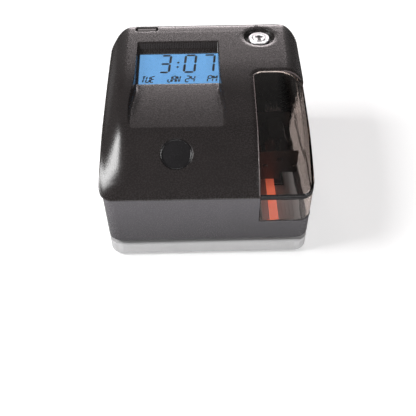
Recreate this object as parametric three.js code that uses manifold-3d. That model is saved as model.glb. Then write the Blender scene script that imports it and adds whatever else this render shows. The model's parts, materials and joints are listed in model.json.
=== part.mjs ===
// Date and time stamp machine: a head over a base plate, with a paper throat between them.
// Millimetres, +Z up, +X right. While a piece is drawn, Y runs back from the front face.
import * as THREE from 'three';
import { mergeVertices } from 'three/addons/utils/BufferGeometryUtils.js';
import Module from 'manifold-3d';

const wasm = await Module();
wasm.setup();

// Driving sizes of the whole machine
const bodyWidth = 160;
const bodyDepth = 178;
const footHeight = 3;
const baseHeight = 12;
const throatHeight = 5;
const throatDepth = 104;
const fasciaHeight = 46.8;
const coverRise = 40.2;
const wall = 2.5;
const roofThickness = 3.1;
const frontCornerRadius = 11;
const rearCornerRadius = 20;

// How far the cover's rim stands out past the lower housing
const overhangLeft = 3.8;
const overhangRight = 1.2;
const overhangFront = 0.8;
const overhangRear = 0.5;

// Clearances: a seated piece keeps the seat gap, a running piece the running gap
const seat = 0.3;
const running = 0.3;
const fit = 0.4;
const overrun = 2;

// Heights that pieces share
const tableTop = footHeight + baseHeight;
const headBottom = tableTop + throatHeight;
const floorThickness = 2.5;
const headFloor = headBottom + floorThickness;
const parting = headBottom + fasciaHeight;
const topHeight = parting + coverRise;
const halfWidth = bodyWidth / 2;

// The cover's crown along its middle and its shoulder along the sides, as shares of depth and rise
const crownDepthShares = [0, 0.067, 0.247, 0.506, 0.618, 0.98, 1];
const crownRiseShares = [0.03, 0.313, 0.764, 0.975, 1, 1, 0.95];
const shoulderDepthShares = [0, 0.034, 0.157, 0.312, 0.652, 1];
const shoulderRiseShares = [0.015, 0.095, 0.304, 0.473, 0.624, 0.74];
const creaseDepthShares = [0, 0.084, 0.56, 1];
const creaseWidthShares = [0.79, 0.8, 0.94, 0.95];
const softCrease = 3.6;
const sharpCrease = 1.2;

// The corner window over the print bay
const windowWidth = 42.8;
const windowRearInset = 72.5;
const windowLeft = halfWidth - windowWidth;
const windowRear = bodyDepth - windowRearInset;
const windowBottomShare = 0.43;
const windowBottom = headBottom + fasciaHeight * windowBottomShare;
const windowWall = 2.2;
const windowCornerRadius = 5;

// The display, left of the middle between the side and the window, on a plane that tilts up to the rear
const displayWidth = 69.7;
const displayRun = 37;
const displayShift = 2.55;
const displayRearInset = 36.6;
const displaySink = 11;
const displayTilt = THREE.MathUtils.degToRad(8);
const displayX = (windowLeft - halfWidth) / 2 - displayShift;
const displayLeft = displayX - displayWidth / 2;
const displayFront = bodyDepth - displayRearInset - displayRun;
const displayWall = 2;
const displayLedge = 0.8;

// The display unit below the recess: a flanged lens over a module
const lensFlange = 1;
const lensFlangeReach = 1.6;
const lensSink = 0.5;
const lensSeat = -displayWall - seat;
const moduleGap = 0.5;
const moduleTop = lensSeat - lensFlange - moduleGap;
const moduleThickness = 5.5;
const moduleMargin = 3.55;
const moduleHalf = displayWidth / 2 + moduleMargin;
const moduleFrontReach = 3.6;
const moduleRearReach = 4;

// The circuit board, and the row of setting buttons beside the display module
const boardThickness = 1.6;
const boardRise = 13.2;
const boardLeftInset = 6;
const boardRearInset = 10;
const boardRun = 70;
const boardMargin = 12;
const boardBottom = parting + boardRise;
const boardTop = boardBottom + boardThickness;
const boardRear = bodyDepth - boardRearInset;
const boardFront = boardRear - boardRun;
const boardLeft = boardLeftInset - halfWidth;
const buttonGap = 9.55;
const buttonPitch = 13;
const buttonCount = 4;
const buttonX = displayX + moduleHalf + buttonGap;
const boardRight = buttonX + boardMargin;
const switchHeight = 3.5;

// The key lock beside the board, and the round emblem
const lockGap = 11;
const lockRearInset = 21.5;
const lockX = boardRight + lockGap;
const lockDepth = bodyDepth - lockRearInset;
const wellRadius = 13.4;
const wellSink = 3.4;
const emblemShift = 0.35;
const emblemX = displayX - emblemShift;
const emblemDepth = 27.5;
const emblemRadius = 12.25;
const emblemSink = 1.4;

// The catch that stands up in the cover's slot at the rear
const hookInset = 19.6;
const hookWidth = 16.6;
const hookRearInset = 7.8;
const hookThickness = 3.6;
const hookLeft = hookInset - halfWidth;
const hookRight = hookLeft + hookWidth;
const hookFront = bodyDepth - hookRearInset;

// The print bay: an opening in the head's floor, two rods, a screw and the carriage on them
const bayInset = 3;
const bayWidth = 33;
const bayFront = 12;
const bayRearGap = 0.5;
const bayRight = halfWidth - bayInset;
const bayLeft = bayRight - bayWidth;
const bayRear = throatDepth - bayRearGap;
const printInset = 16;
const printX = bayRight - printInset;
const rodRadius = 2;
const rodInset = 4;
const rodPitch = 25;
const rodRise = 26;
const rodRightX = bayRight - rodInset;
const rodLeftX = rodRightX - rodPitch;
const rodHeight = headBottom + rodRise;
const screwInset = 17;
const screwRise = 6;
const screwX = bayRight - screwInset;
const screwHeight = rodHeight + screwRise;
const screwRadius = 2.5;
const carriageLength = 24;
const carriageRear = throatDepth;
const ribbonWidth = 7;
const ribbonRise = 1.3;
const ribbonHeight = tableTop + ribbonRise;
const ribbonThickness = 0.4;

// The sheet steel frame that carries them
const sheet = 1.5;
const frameRun = 50;
const frameGap = 2;
const frameReach = 22;
const frameRear = throatDepth + frameGap;
const frameFront = frameRear - frameRun;
const frameLeft = bayLeft - frameReach;
const rodProud = 0.8;

// The ribbon cartridge beside the carriage, with two arms that hold the ribbon under the head
const cartridgeGap = 4;
const cartridgeWidth = 33;
const cartridgeHeight = 17.5;
const cartridgeRight = bayLeft - cartridgeGap;
const cartridgeLeft = cartridgeRight - cartridgeWidth;
const cartridgeTop = headFloor + cartridgeHeight;
const armRun = 35.4;
const armRearGap = 1.6;
const armRise = 7.2;
const armRear = throatDepth - armRearGap;
const armFront = armRear - armRun;
const armTop = headFloor + armRise;
const armThickness = 3.2;
const knobInset = 9;
const knobFrontInset = 16;
const knobX = cartridgeLeft + knobInset;
const knobDepth = armFront + knobFrontInset;

// Screws that hold base, column and head together, and the feet
const fastenerInset = 28;
const fastenerRowShares = [0.378378, 0.756757];
const fastenerPlaces = fastenerRowShares.flatMap((share) => [-1, 1].map((side) => [
  side * (halfWidth - fastenerInset), throatDepth + share * (bodyDepth - throatDepth)]));
const fastenerRadius = 1.8;
const fastenerHole = fastenerRadius + running;
const footInset = 16;
const footRearInset = 20;
const footRadius = 8;
const footPegRadius = 2.5;
const footPlaces = [footInset, bodyDepth - footRearInset].flatMap((depth) => [-1, 1].map((side) => [
  side * (halfWidth - footInset), depth]));
const plateThickness = 1.2;
const plateBottom = footHeight + seat;
const plateTop = plateBottom + plateThickness;

// Posts under the board, one of them beside the print unit's frame
const postInset = 4;
const postMargin = 6;
const postGap = 8;
const boardPosts = [
  [boardLeft + postInset, boardFront + postGap],
  [boardLeft + postInset, boardRear - postMargin],
  [frameLeft - postGap, frameRear + postMargin],
  [boardRight - postMargin, boardRear - postMargin],
];

// Numbers of sides and steps
const roundSides = 32;
const smallSides = 16;
const gripSides = 8;
const cornerSteps = 6;
const stationCount = 32;

const colours = {
  cover: { color: 0x2c2a2a, roughness: 0.55, metalness: 0 },
  housing: { color: 0x55525a, roughness: 0.25, metalness: 0 },
  base: { color: 0xbebdbf, roughness: 0.45, metalness: 0 },
  smoke: { color: 0x5a4a42, roughness: 0.05, metalness: 0, transparent: true, opacity: 0.45 },
  clear: { color: 0xdfe6ea, roughness: 0.05, metalness: 0, transparent: true, opacity: 0.3 },
  display: { color: 0x6fb4e0, roughness: 0.2, metalness: 0 },
  rubber: { color: 0x1c1c1c, roughness: 0.9, metalness: 0 },
  steel: { color: 0x9a9ca0, roughness: 0.35, metalness: 1 },
  chrome: { color: 0xe8e8ea, roughness: 0.12, metalness: 1 },
  dark: { color: 0x242222, roughness: 0.6, metalness: 0 },
  board: { color: 0x1e5a36, roughness: 0.5, metalness: 0 },
  red: { color: 0xe8583c, roughness: 0.3, metalness: 0, transparent: true, opacity: 0.7 },
  ivory: { color: 0xb8aeb0, roughness: 0.3, metalness: 0 },
};

// Solids: a closed geometry becomes a solid that can be cut and joined, and back
function solid(geometry) {
  const plain = geometry.index ? geometry.toNonIndexed() : geometry.clone();
  plain.deleteAttribute('normal');
  plain.deleteAttribute('uv');
  const merged = mergeVertices(plain);
  const kept = [];
  const index = merged.index.array;
  for (let i = 0; i < index.length; i += 3) {
    const [a, b, c] = [index[i], index[i + 1], index[i + 2]];
    if (a !== b && b !== c && c !== a) kept.push(a, b, c);
  }
  const vertProperties = new Float32Array(merged.attributes.position.array);
  return new wasm.Manifold(new wasm.Mesh({ numProp: 3, vertProperties, triVerts: new Uint32Array(kept) }));
}

function geometryOf(shape) {
  const { vertProperties, triVerts } = shape.getMesh();
  const geometry = new THREE.BufferGeometry();
  geometry.setAttribute('position', new THREE.BufferAttribute(vertProperties, 3));
  geometry.setIndex(new THREE.BufferAttribute(triVerts, 1));
  geometry.computeVertexNormals();
  return geometry;
}

function join(first, ...others) {
  return others.reduce((whole, other) => whole.add(other), first);
}

function cut(first, ...tools) {
  return tools.reduce((rest, tool) => rest.subtract(tool), first);
}

// Simple forms, each between the two ends given for its axes
function block(x, y, z) {
  const geometry = new THREE.BoxGeometry(x[1] - x[0], y[1] - y[0], z[1] - z[0]);
  return solid(geometry.translate((x[0] + x[1]) / 2, (y[0] + y[1]) / 2, (z[0] + z[1]) / 2));
}

function post(radius, z, [x, y], sides = smallSides) {
  const geometry = new THREE.CylinderGeometry(radius, radius, z[1] - z[0], sides).rotateX(Math.PI / 2);
  return solid(geometry.translate(x, y, (z[0] + z[1]) / 2));
}

function shaft(radius, y, [x, z], sides = smallSides) {
  const geometry = new THREE.CylinderGeometry(radius, radius, y[1] - y[0], sides);
  return solid(geometry.translate(x, (y[0] + y[1]) / 2, z));
}

function crossPin(radius, x, [y, z], sides = smallSides) {
  const geometry = new THREE.CylinderGeometry(radius, radius, x[1] - x[0], sides).rotateZ(Math.PI / 2);
  return solid(geometry.translate((x[0] + x[1]) / 2, y, z));
}

function turned(points, sides = roundSides) {
  const profile = points.map(([r, z]) => new THREE.Vector2(r, z));
  return new THREE.LatheGeometry(profile, sides).rotateX(Math.PI / 2);
}

// Outlines drawn in plan, from the side and from the front
function polygon(points) {
  return new THREE.Shape(points.map(([x, y]) => new THREE.Vector2(x, y)));
}

function slab(shape, z) {
  const options = { depth: z[1] - z[0], bevelEnabled: false, curveSegments: cornerSteps };
  return solid(new THREE.ExtrudeGeometry(shape, options).translate(0, 0, z[0]));
}

function sideSlab(shape, x) {
  const options = { depth: x[1] - x[0], bevelEnabled: false, curveSegments: cornerSteps };
  const geometry = new THREE.ExtrudeGeometry(shape, options);
  const turn = new THREE.Matrix4().makeBasis(
    new THREE.Vector3(0, 1, 0), new THREE.Vector3(0, 0, 1), new THREE.Vector3(1, 0, 0));
  return solid(geometry.applyMatrix4(turn).translate(x[0], 0, 0));
}

function frontSlab(shape, y) {
  const options = { depth: y[1] - y[0], bevelEnabled: false, curveSegments: cornerSteps };
  const geometry = new THREE.ExtrudeGeometry(shape, options);
  const turn = new THREE.Matrix4().makeBasis(
    new THREE.Vector3(1, 0, 0), new THREE.Vector3(0, 0, 1), new THREE.Vector3(0, -1, 0));
  return solid(geometry.applyMatrix4(turn).translate(0, y[1], 0));
}

function roundedOutline(left, right, front, rear, frontRadius, rearRadius) {
  const shape = new THREE.Shape();
  const quarter = Math.PI / 2;
  shape.absarc(left + frontRadius, front + frontRadius, frontRadius, 2 * quarter, 3 * quarter);
  shape.absarc(right - frontRadius, front + frontRadius, frontRadius, 3 * quarter, 4 * quarter);
  shape.absarc(right - rearRadius, rear - rearRadius, rearRadius, 0, quarter);
  shape.absarc(left + rearRadius, rear - rearRadius, rearRadius, quarter, 2 * quarter);
  return shape;
}

function bodyOutline(inset) {
  return roundedOutline(-halfWidth + inset, halfWidth - inset, inset, bodyDepth - inset,
    frontCornerRadius - inset, rearCornerRadius - inset);
}

function coverOutline(inset) {
  return roundedOutline(-halfWidth - overhangLeft + inset, halfWidth + overhangRight - inset,
    inset - overhangFront, bodyDepth + overhangRear - inset,
    frontCornerRadius + overhangFront - inset, rearCornerRadius + overhangRear - inset);
}

// The cover's outer surface as a height over the plan
function between(place, places, values) {
  if (place <= places[0]) return values[0];
  for (let i = 1; i < places.length; i += 1) {
    if (place <= places[i]) {
      const share = (place - places[i - 1]) / (places[i] - places[i - 1]);
      return values[i - 1] + share * (values[i] - values[i - 1]);
    }
  }
  return values[values.length - 1];
}

// The mean over a short reach each way, which rounds the creases of a line with corners
function softened(line, place, reach) {
  const stepShares = [-1, -0.6, -0.2, 0.2, 0.6, 1];
  const sum = stepShares.reduce((total, share) => total + line(place + share * reach), 0);
  return sum / stepShares.length;
}

function crownHeight(depth, reach) {
  const line = (d) => between(d / bodyDepth, crownDepthShares, crownRiseShares);
  return parting + coverRise * softened(line, depth, reach);
}

function shoulderHeight(depth, reach) {
  const line = (d) => between(d / bodyDepth, shoulderDepthShares, shoulderRiseShares);
  return parting + coverRise * softened(line, depth, reach);
}

function creaseAt(depth) {
  return halfWidth * between(depth / bodyDepth, creaseDepthShares, creaseWidthShares);
}

function surfaceHeight(x, depth, reach) {
  const crown = crownHeight(depth, reach);
  const shoulder = shoulderHeight(depth, reach);
  const crease = creaseAt(depth);
  const line = (place) => between(Math.abs(place), [crease, halfWidth + overhangLeft], [crown, shoulder]);
  return softened(line, x, reach);
}

// The space below that surface, drawn in by an inset and let down by a drop
function underSurface(inset, drop, bottom, reach) {
  const acrossShares = [0, 0.5, 1];
  const creaseShares = [-1, -0.5, 0, 0.5, 1];
  const edge = halfWidth + overhangLeft;
  const columns = (depth) => {
    const crease = creaseAt(depth) - inset;
    const middle = acrossShares.slice(0, 2).map((share) => share * (crease - reach));
    const bend = creaseShares.map((share) => crease + share * reach);
    const side = acrossShares.slice(1).map((share) => crease + reach + share * (edge - crease - reach));
    const half = [...middle, ...bend, ...side];
    return [...half.slice(1).reverse().map((x) => -x), ...half];
  };
  const tops = [];
  const bottoms = [];
  for (let i = 0; i <= stationCount; i += 1) {
    const depth = -overrun + (bodyDepth + 2 * overrun) * (i / stationCount);
    const places = columns(depth);
    tops.push(places.map((x) => [x, depth, surfaceHeight(Math.abs(x) + inset, depth, reach) - drop]));
    bottoms.push(places.map((x) => [x, depth, bottom]));
  }
  return solid(loftBetween(tops, bottoms));
}

// A closed mesh between an upper and a lower grid of points
function loftBetween(upper, lower) {
  const positions = [];
  const rows = upper.length;
  const cols = upper[0].length;
  const face = (a, b, c, d) => positions.push(...a, ...b, ...c, ...a, ...c, ...d);
  for (let i = 0; i + 1 < rows; i += 1) {
    for (let j = 0; j + 1 < cols; j += 1) {
      face(upper[i][j], upper[i][j + 1], upper[i + 1][j + 1], upper[i + 1][j]);
      face(lower[i][j], lower[i + 1][j], lower[i + 1][j + 1], lower[i][j + 1]);
    }
    face(lower[i][0], upper[i][0], upper[i + 1][0], lower[i + 1][0]);
    face(lower[i][cols - 1], lower[i + 1][cols - 1], upper[i + 1][cols - 1], upper[i][cols - 1]);
  }
  for (let j = 0; j + 1 < cols; j += 1) {
    face(lower[0][j], lower[0][j + 1], upper[0][j + 1], upper[0][j]);
    face(lower[rows - 1][j], upper[rows - 1][j], upper[rows - 1][j + 1], lower[rows - 1][j + 1]);
  }
  const geometry = new THREE.BufferGeometry();
  geometry.setAttribute('position', new THREE.Float32BufferAttribute(positions, 3));
  return geometry;
}

// The part of the plan that the corner window takes, drawn in by a clearance
function windowRegion(clearance, z) {
  const past = 4 * windowCornerRadius;
  const outline = roundedOutline(windowLeft + clearance, halfWidth + past, -past, windowRear - clearance,
    windowCornerRadius, windowCornerRadius);
  return slab(outline, z);
}

// A piece drawn on the display's tilted plane: across from its middle, back from its front edge
function onDisplayPlane(geometry) {
  return geometry.rotateX(displayTilt).translate(displayX, displayFront, topHeight - displaySink);
}

function displayBlock(halfSpan, back, up) {
  const geometry = new THREE.BoxGeometry(2 * halfSpan, back[1] - back[0], up[1] - up[0]);
  geometry.translate(0, (back[0] + back[1]) / 2, (up[0] + up[1]) / 2);
  return solid(onDisplayPlane(geometry));
}

// The space of the display recess, with its sloping back wall, grown by a wall
function displayRecess(grow) {
  const backRun = 10.2;
  const backRise = 4.5;
  const lift = displaySink + overrun;
  const shape = polygon([
    [-grow, -grow],
    [displayRun + grow, -grow],
    [displayRun + grow + backRun, backRise - grow],
    [displayRun + grow + backRun * (lift / backRise), lift],
    [-grow, lift],
  ]);
  const span = displayWidth + 2 * grow;
  const geometry = new THREE.ExtrudeGeometry(shape, { depth: span, bevelEnabled: false });
  const turn = new THREE.Matrix4().makeBasis(
    new THREE.Vector3(0, 1, 0), new THREE.Vector3(0, 0, 1), new THREE.Vector3(1, 0, 0));
  return solid(onDisplayPlane(geometry.applyMatrix4(turn).translate(-span / 2, 0, 0)));
}

// The ramp in front of the display: it widens to the front and runs out into the crown
function displayRamp(grow) {
  const rampFront = 47;
  const flareLeft = 3.3;
  const flareRight = 3.7;
  const flareRun = 38;
  const bend = flareRun / 2;
  const into = 1;
  const low = topHeight - displaySink;
  const runOut = crownHeight(rampFront, sharpCrease);
  const left = displayLeft - grow;
  const right = displayLeft + displayWidth + grow;
  const front = rampFront - grow;
  const back = displayFront + into;
  const plan = new THREE.Shape();
  plan.moveTo(left, back);
  plan.bezierCurveTo(left, back - bend, left - flareLeft, back - bend, left - flareLeft, back - flareRun);
  plan.lineTo(left - flareLeft, front);
  plan.lineTo(right + flareRight, front);
  plan.lineTo(right + flareRight, back - flareRun);
  plan.bezierCurveTo(right + flareRight, back - bend, right, back - bend, right, back);
  const side = polygon([
    [front, runOut - grow],
    [back, low - grow],
    [back, topHeight + overrun],
    [front, topHeight + overrun],
  ]);
  const width = bodyWidth / 2;
  return slab(plan, [parting, topHeight + overrun]).intersect(sideSlab(side, [displayX - width, displayX + width]));
}

function lockWell(grow) {
  return post(wellRadius + grow, [topHeight - wellSink - grow, topHeight + overrun], [lockX, lockDepth], roundSides);
}

function emblemSlope() {
  const step = emblemRadius;
  const rise = crownHeight(emblemDepth + step, sharpCrease) - crownHeight(emblemDepth - step, sharpCrease);
  return Math.atan2(rise, 2 * step);
}

// A round form set square to the front slope at the emblem
function onEmblem(geometry) {
  return geometry.rotateX(emblemSlope()).translate(emblemX, emblemDepth, crownHeight(emblemDepth, sharpCrease));
}

function emblemRecess(grow) {
  const height = emblemSink + grow + overrun;
  const geometry = new THREE.CylinderGeometry(emblemRadius + grow, emblemRadius + grow, height, roundSides);
  geometry.rotateX(Math.PI / 2).translate(0, 0, height / 2 - emblemSink - grow);
  return solid(onEmblem(geometry));
}

function topCover() {
  const slotSide = 1.4;
  const slotFrontGap = 2.2;
  const slotRearGap = 1.1;
  const lockHole = lockBarrelRadius + running;
  const high = topHeight + overrun;
  const outer = underSurface(0, 0, parting - overrun, softCrease).intersect(slab(coverOutline(0), [parting, high]));
  const hollow = cut(
    underSurface(wall, roofThickness, parting - 2 * overrun, softCrease)
      .intersect(slab(coverOutline(wall), [parting - overrun, high])),
    displayRecess(displayWall), displayRamp(displayWall), lockWell(wall), emblemRecess(wall));
  return cut(outer, hollow,
    displayRecess(0), displayRamp(0), lockWell(0), emblemRecess(0),
    displayBlock(displayWidth / 2 - displayLedge, [displayLedge, displayRun - displayLedge],
      [-displaySink, displayWall]),
    post(lockHole, [parting, high], [lockX, lockDepth], roundSides),
    block([hookLeft - slotSide, hookRight + slotSide],
      [hookFront - slotFrontGap, hookFront + hookThickness + slotRearGap], [parting, high]),
    windowRegion(0, [parting - overrun, high]));
}

function upperWindow() {
  const low = parting + seat;
  const high = topHeight + overrun;
  const outer = underSurface(0, 0, parting - overrun, sharpCrease).intersect(slab(bodyOutline(0), [low, high]));
  const hollow = underSurface(windowWall, windowWall, parting - 2 * overrun, sharpCrease)
    .intersect(slab(bodyOutline(windowWall), [parting - overrun, high]));
  return cut(outer, hollow).intersect(windowRegion(fit, [parting - overrun, high]));
}

function lowerWindow() {
  const heights = [windowBottom + seat, parting - seat];
  const ring = cut(slab(bodyOutline(0), heights),
    slab(bodyOutline(windowWall), [heights[0] - overrun, heights[1] + overrun]));
  return ring.intersect(windowRegion(fit, heights));
}

function lowerHousing() {
  const lipHeight = 3.4;
  const lipThickness = 1.4;
  const bossRadius = 5;
  const bossHeight = 7.5;
  const postRadius = 3.5;
  const housingTop = parting - seat;
  const lipOutline = coverOutline(wall + fit);
  const tub = cut(slab(bodyOutline(0), [headBottom, housingTop]),
    slab(bodyOutline(wall), [headFloor, housingTop + overrun]));
  const lip = cut(slab(lipOutline, [parting - lipHeight, parting + lipHeight]),
    slab(coverOutline(wall + fit + lipThickness), [headBottom, topHeight]))
    .intersect(underSurface(wall, roofThickness + fit, headBottom, softCrease));
  const bosses = fastenerPlaces.map((at) => post(bossRadius, [headBottom + seat, headFloor + bossHeight], at));
  const posts = boardPosts.map((at) => post(postRadius, [headBottom + seat, boardBottom - seat], at));
  const holes = fastenerPlaces.map((at) => post(fastenerHole,
    [headBottom - overrun, headFloor + bossHeight - wall], at));
  return cut(join(tub, lip, ...bosses, ...posts, triggerEars()),
    windowRegion(0, [windowBottom, topHeight]),
    block([bayLeft, bayRight], [bayFront, bayRear], [headBottom - overrun, headFloor + overrun]),
    triggerSlot(), jackHole(), ...holes);
}

// The paper trigger swings on a cross pin between two ears on the head's floor
const triggerGap = 12;
const triggerRearGap = 8;
const triggerRise = 5.5;
const triggerX = cartridgeLeft - triggerGap;
const triggerWidth = 3;
const triggerDepth = throatDepth - triggerRearGap;
const triggerHeight = headFloor + triggerRise;
const triggerPinRadius = 1;
const triggerHub = 2.6;
const earThickness = 1.8;

function triggerEars() {
  const earHalf = triggerHub + wall / 2;
  const inner = triggerWidth / 2 + running;
  const sides = [-1, 1].map((side) => {
    const ends = [triggerX + side * inner, triggerX + side * (inner + earThickness)].sort((a, b) => a - b);
    const ear = polygon([
      [triggerDepth - earHalf, headBottom + seat],
      [triggerDepth + earHalf, headBottom + seat],
      [triggerDepth + triggerHub, triggerHeight + triggerHub],
      [triggerDepth - triggerHub, triggerHeight + triggerHub],
    ]);
    return cut(sideSlab(ear, ends),
      crossPin(triggerPinRadius + running, [ends[0] - overrun, ends[1] + overrun], [triggerDepth, triggerHeight]));
  });
  return join(...sides);
}

function triggerSlot() {
  const slotReach = 3.5;
  const half = triggerWidth / 2 + running;
  return block([triggerX - half, triggerX + half], [triggerDepth - slotReach, bayRear],
    [headBottom - overrun, headFloor + overrun]);
}

function triggerLever() {
  const fingerHalf = 1.2;
  const fingerGap = 0.7;
  const fingerEnd = tableTop + fingerGap;
  const tailLength = 9;
  const tailRise = 3;
  const half = triggerWidth / 2;
  const x = [triggerX - half, triggerX + half];
  const hub = crossPin(triggerHub, x, [triggerDepth, triggerHeight]);
  const finger = sideSlab(polygon([
    [triggerDepth - fingerHalf / 2, fingerEnd],
    [triggerDepth + fingerHalf, fingerEnd],
    [triggerDepth + 2 * fingerHalf, triggerHeight],
    [triggerDepth - 2 * fingerHalf, triggerHeight],
  ]), x);
  const tail = sideSlab(polygon([
    [triggerDepth, triggerHeight - fingerHalf],
    [triggerDepth, triggerHeight + triggerHub],
    [triggerDepth - tailLength, triggerHeight + tailRise + fingerHalf],
    [triggerDepth - tailLength, triggerHeight + tailRise - fingerHalf],
  ]), x);
  const bore = crossPin(triggerPinRadius + running, [x[0] - overrun, x[1] + overrun], [triggerDepth, triggerHeight]);
  return cut(join(hub, finger, tail), bore);
}

function triggerPin() {
  const half = triggerWidth / 2 + running + earThickness + running;
  return crossPin(triggerPinRadius, [triggerX - half, triggerX + half], [triggerDepth, triggerHeight]);
}

// The power inlet in the rear wall
const jackInset = 50;
const jackRise = 16;
const jackX = jackInset - halfWidth;
const jackHeight = headBottom + jackRise;
const jackBarrel = 4.8;
const jackBore = 3.2;

function jackHole() {
  return shaft(jackBarrel + running, [bodyDepth - 2 * wall, bodyDepth + overrun], [jackX, jackHeight]);
}

function dcJack() {
  const bodyHalf = 6;
  const bodyLength = 14;
  const boreDepth = 10;
  const inside = bodyDepth - wall - seat;
  const face = bodyDepth - seat;
  const shell = join(
    block([jackX - bodyHalf, jackX + bodyHalf], [inside - bodyLength, inside],
      [jackHeight - bodyHalf, jackHeight + bodyHalf]),
    shaft(jackBarrel, [inside - wall, face], [jackX, jackHeight]));
  return cut(shell, shaft(jackBore, [face - boreDepth, face + overrun], [jackX, jackHeight]));
}

// The base: a tray with the paper table on top, closed below by a steel plate
const stopInset = 40;
const stopRun = 48;
const stopX = stopInset - halfWidth;
const stopSlotHalf = 2.4;
const stopFront = throatDepth - stopRun;
const platenHalf = 7;
const platenRun = 35.5;
const platenRearGap = 1.5;
const platenRear = throatDepth - platenRearGap;
const platenFront = platenRear - platenRun;
const platenThickness = 1.5;

function baseTray() {
  const bossRadius = 5;
  const ribThickness = 2;
  const ribWidthShares = [-0.125, 0, 0.125];
  const frontRib = 34;
  const columnRibGap = 6;
  const entryBevel = 1.6;
  const roof = tableTop - wall;
  const bossBottom = plateTop + seat;
  const tray = cut(slab(bodyOutline(0), [footHeight, tableTop]),
    slab(bodyOutline(wall), [footHeight - overrun, roof]));
  const bosses = fastenerPlaces.map((at) => post(bossRadius, [bossBottom, tableTop - wall / 2], at));
  const ribs = ribWidthShares.map((share) => block(
    [share * bodyWidth - ribThickness / 2, share * bodyWidth + ribThickness / 2],
    [wall / 2, bodyDepth - wall / 2], [bossBottom, tableTop - wall / 2]));
  const crossRibs = [frontRib, throatDepth + columnRibGap].map((depth) => block(
    [wall / 2 - halfWidth, halfWidth - wall / 2],
    [depth - ribThickness / 2, depth + ribThickness / 2], [bossBottom, tableTop - wall / 2]));
  const platenPad = block([printX - platenHalf - wall, printX + platenHalf + wall],
    [platenFront - wall, platenRear + wall], [roof - wall / 2, tableTop - wall / 2]);
  const holes = fastenerPlaces.map((at) => post(fastenerHole, [footHeight - overrun, tableTop + overrun], at));
  const entry = sideSlab(polygon([
    [-overrun, tableTop - entryBevel - overrun],
    [entryBevel + overrun, tableTop + overrun],
    [-overrun, tableTop + overrun],
  ]), [-bodyWidth, bodyWidth]);
  return cut(join(tray, ...bosses, ...ribs, ...crossRibs, platenPad), ...holes, entry,
    block([printX - platenHalf - running, printX + platenHalf + running],
      [platenFront - running, platenRear + running], [tableTop - platenThickness - seat, tableTop + overrun]),
    block([stopX - stopSlotHalf, stopX + stopSlotHalf], [stopFront, throatDepth - seat],
      [footHeight, tableTop + overrun]));
}

function bottomPlate() {
  const keyholeRadius = 4.6;
  const keySlotHalf = 2.3;
  const keySlotLength = 11;
  const keyholeInset = 44;
  const keyholeDepth = 60;
  const keyholePlaces = [-1, 1].map((side) => [side * (halfWidth - keyholeInset), keyholeDepth]);
  const heights = [plateBottom, plateTop];
  const through = [plateBottom - overrun, plateTop + overrun];
  const plate = slab(bodyOutline(wall + fit), heights);
  const pegHoles = footPlaces.map((at) => post(footPegRadius + running, through, at));
  const screwHoles = fastenerPlaces.map((at) => post(fastenerHole, through, at));
  const keyholes = keyholePlaces.map(([x, y]) => join(
    post(keyholeRadius, through, [x, y]),
    block([x - keySlotHalf, x + keySlotHalf], [y, y + keySlotLength], through),
    post(keySlotHalf, through, [x, y + keySlotLength])));
  return cut(plate, ...pegHoles, ...screwHoles, ...keyholes);
}

function foot([x, y]) {
  const taper = 1;
  const pegProud = 1.6;
  const pegTop = plateTop + pegProud;
  const geometry = turned([
    [0, 0], [footRadius - taper, 0], [footRadius, footHeight - taper], [footRadius, footHeight],
    [footPegRadius, footHeight], [footPegRadius, pegTop], [0, pegTop],
  ]);
  return solid(geometry.translate(x, y, 0));
}

function platen() {
  return block([printX - platenHalf, printX + platenHalf], [platenFront, platenRear],
    [tableTop - platenThickness, tableTop]);
}

function baseScrew([x, y]) {
  const headRadius = 3.4;
  const headFaceShare = 0.8;
  const headThickness = 1.9;
  const length = 22;
  const low = plateBottom - seat - headThickness;
  const geometry = turned([
    [0, low], [headRadius * headFaceShare, low], [headRadius, low + headThickness / 2],
    [headRadius, low + headThickness],
    [fastenerRadius, low + headThickness], [fastenerRadius, low + headThickness + length],
    [0, low + headThickness + length],
  ], smallSides);
  return solid(geometry.translate(x, y, 0));
}

function rearColumn() {
  const inset = 1.5;
  const heights = [tableTop + seat, headBottom - seat];
  const holes = fastenerPlaces.map((at) => post(fastenerHole, [tableTop - overrun, headBottom + overrun], at));
  const outline = roundedOutline(inset - halfWidth, halfWidth - inset, throatDepth, bodyDepth - inset,
    inset, rearCornerRadius - inset);
  return cut(slab(outline, heights), ...holes);
}

function paperStop() {
  const half = 18;
  const thickness = 3.2;
  const rearGap = 0.8;
  const topGap = 0.7;
  const rear = throatDepth - rearGap;
  const padHalf = 6;
  const padDrop = 2.3;
  const under = tableTop - wall - running;
  const stemHalf = stopSlotHalf - running;
  const fence = block([stopX - half, stopX + half], [rear - thickness, rear],
    [tableTop + running, headBottom - topGap]);
  const stem = block([stopX - stemHalf, stopX + stemHalf], [rear - thickness, rear],
    [under - padDrop / 2, tableTop + throatHeight / 2]);
  const pad = block([stopX - padHalf, stopX + padHalf], [rear - 2 * thickness, rear + thickness / 2],
    [under - padDrop, under]);
  return join(fence, stem, pad);
}

function lcdLens() {
  const inner = displayLedge + fit;
  const glass = displayBlock(displayWidth / 2 - inner, [inner, displayRun - inner],
    [lensSeat - lensFlange, -lensSink]);
  const flange = displayBlock(displayWidth / 2 + lensFlangeReach, [-lensFlangeReach, displayRun + lensFlangeReach],
    [lensSeat - lensFlange, lensSeat]);
  return join(glass, flange);
}

function moduleBlock(inset, up) {
  return displayBlock(moduleHalf - inset, [inset - moduleFrontReach, displayRun + moduleRearReach - inset], up);
}

function lcdModule() {
  return moduleBlock(0, [moduleTop - moduleThickness, moduleTop]);
}

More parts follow.
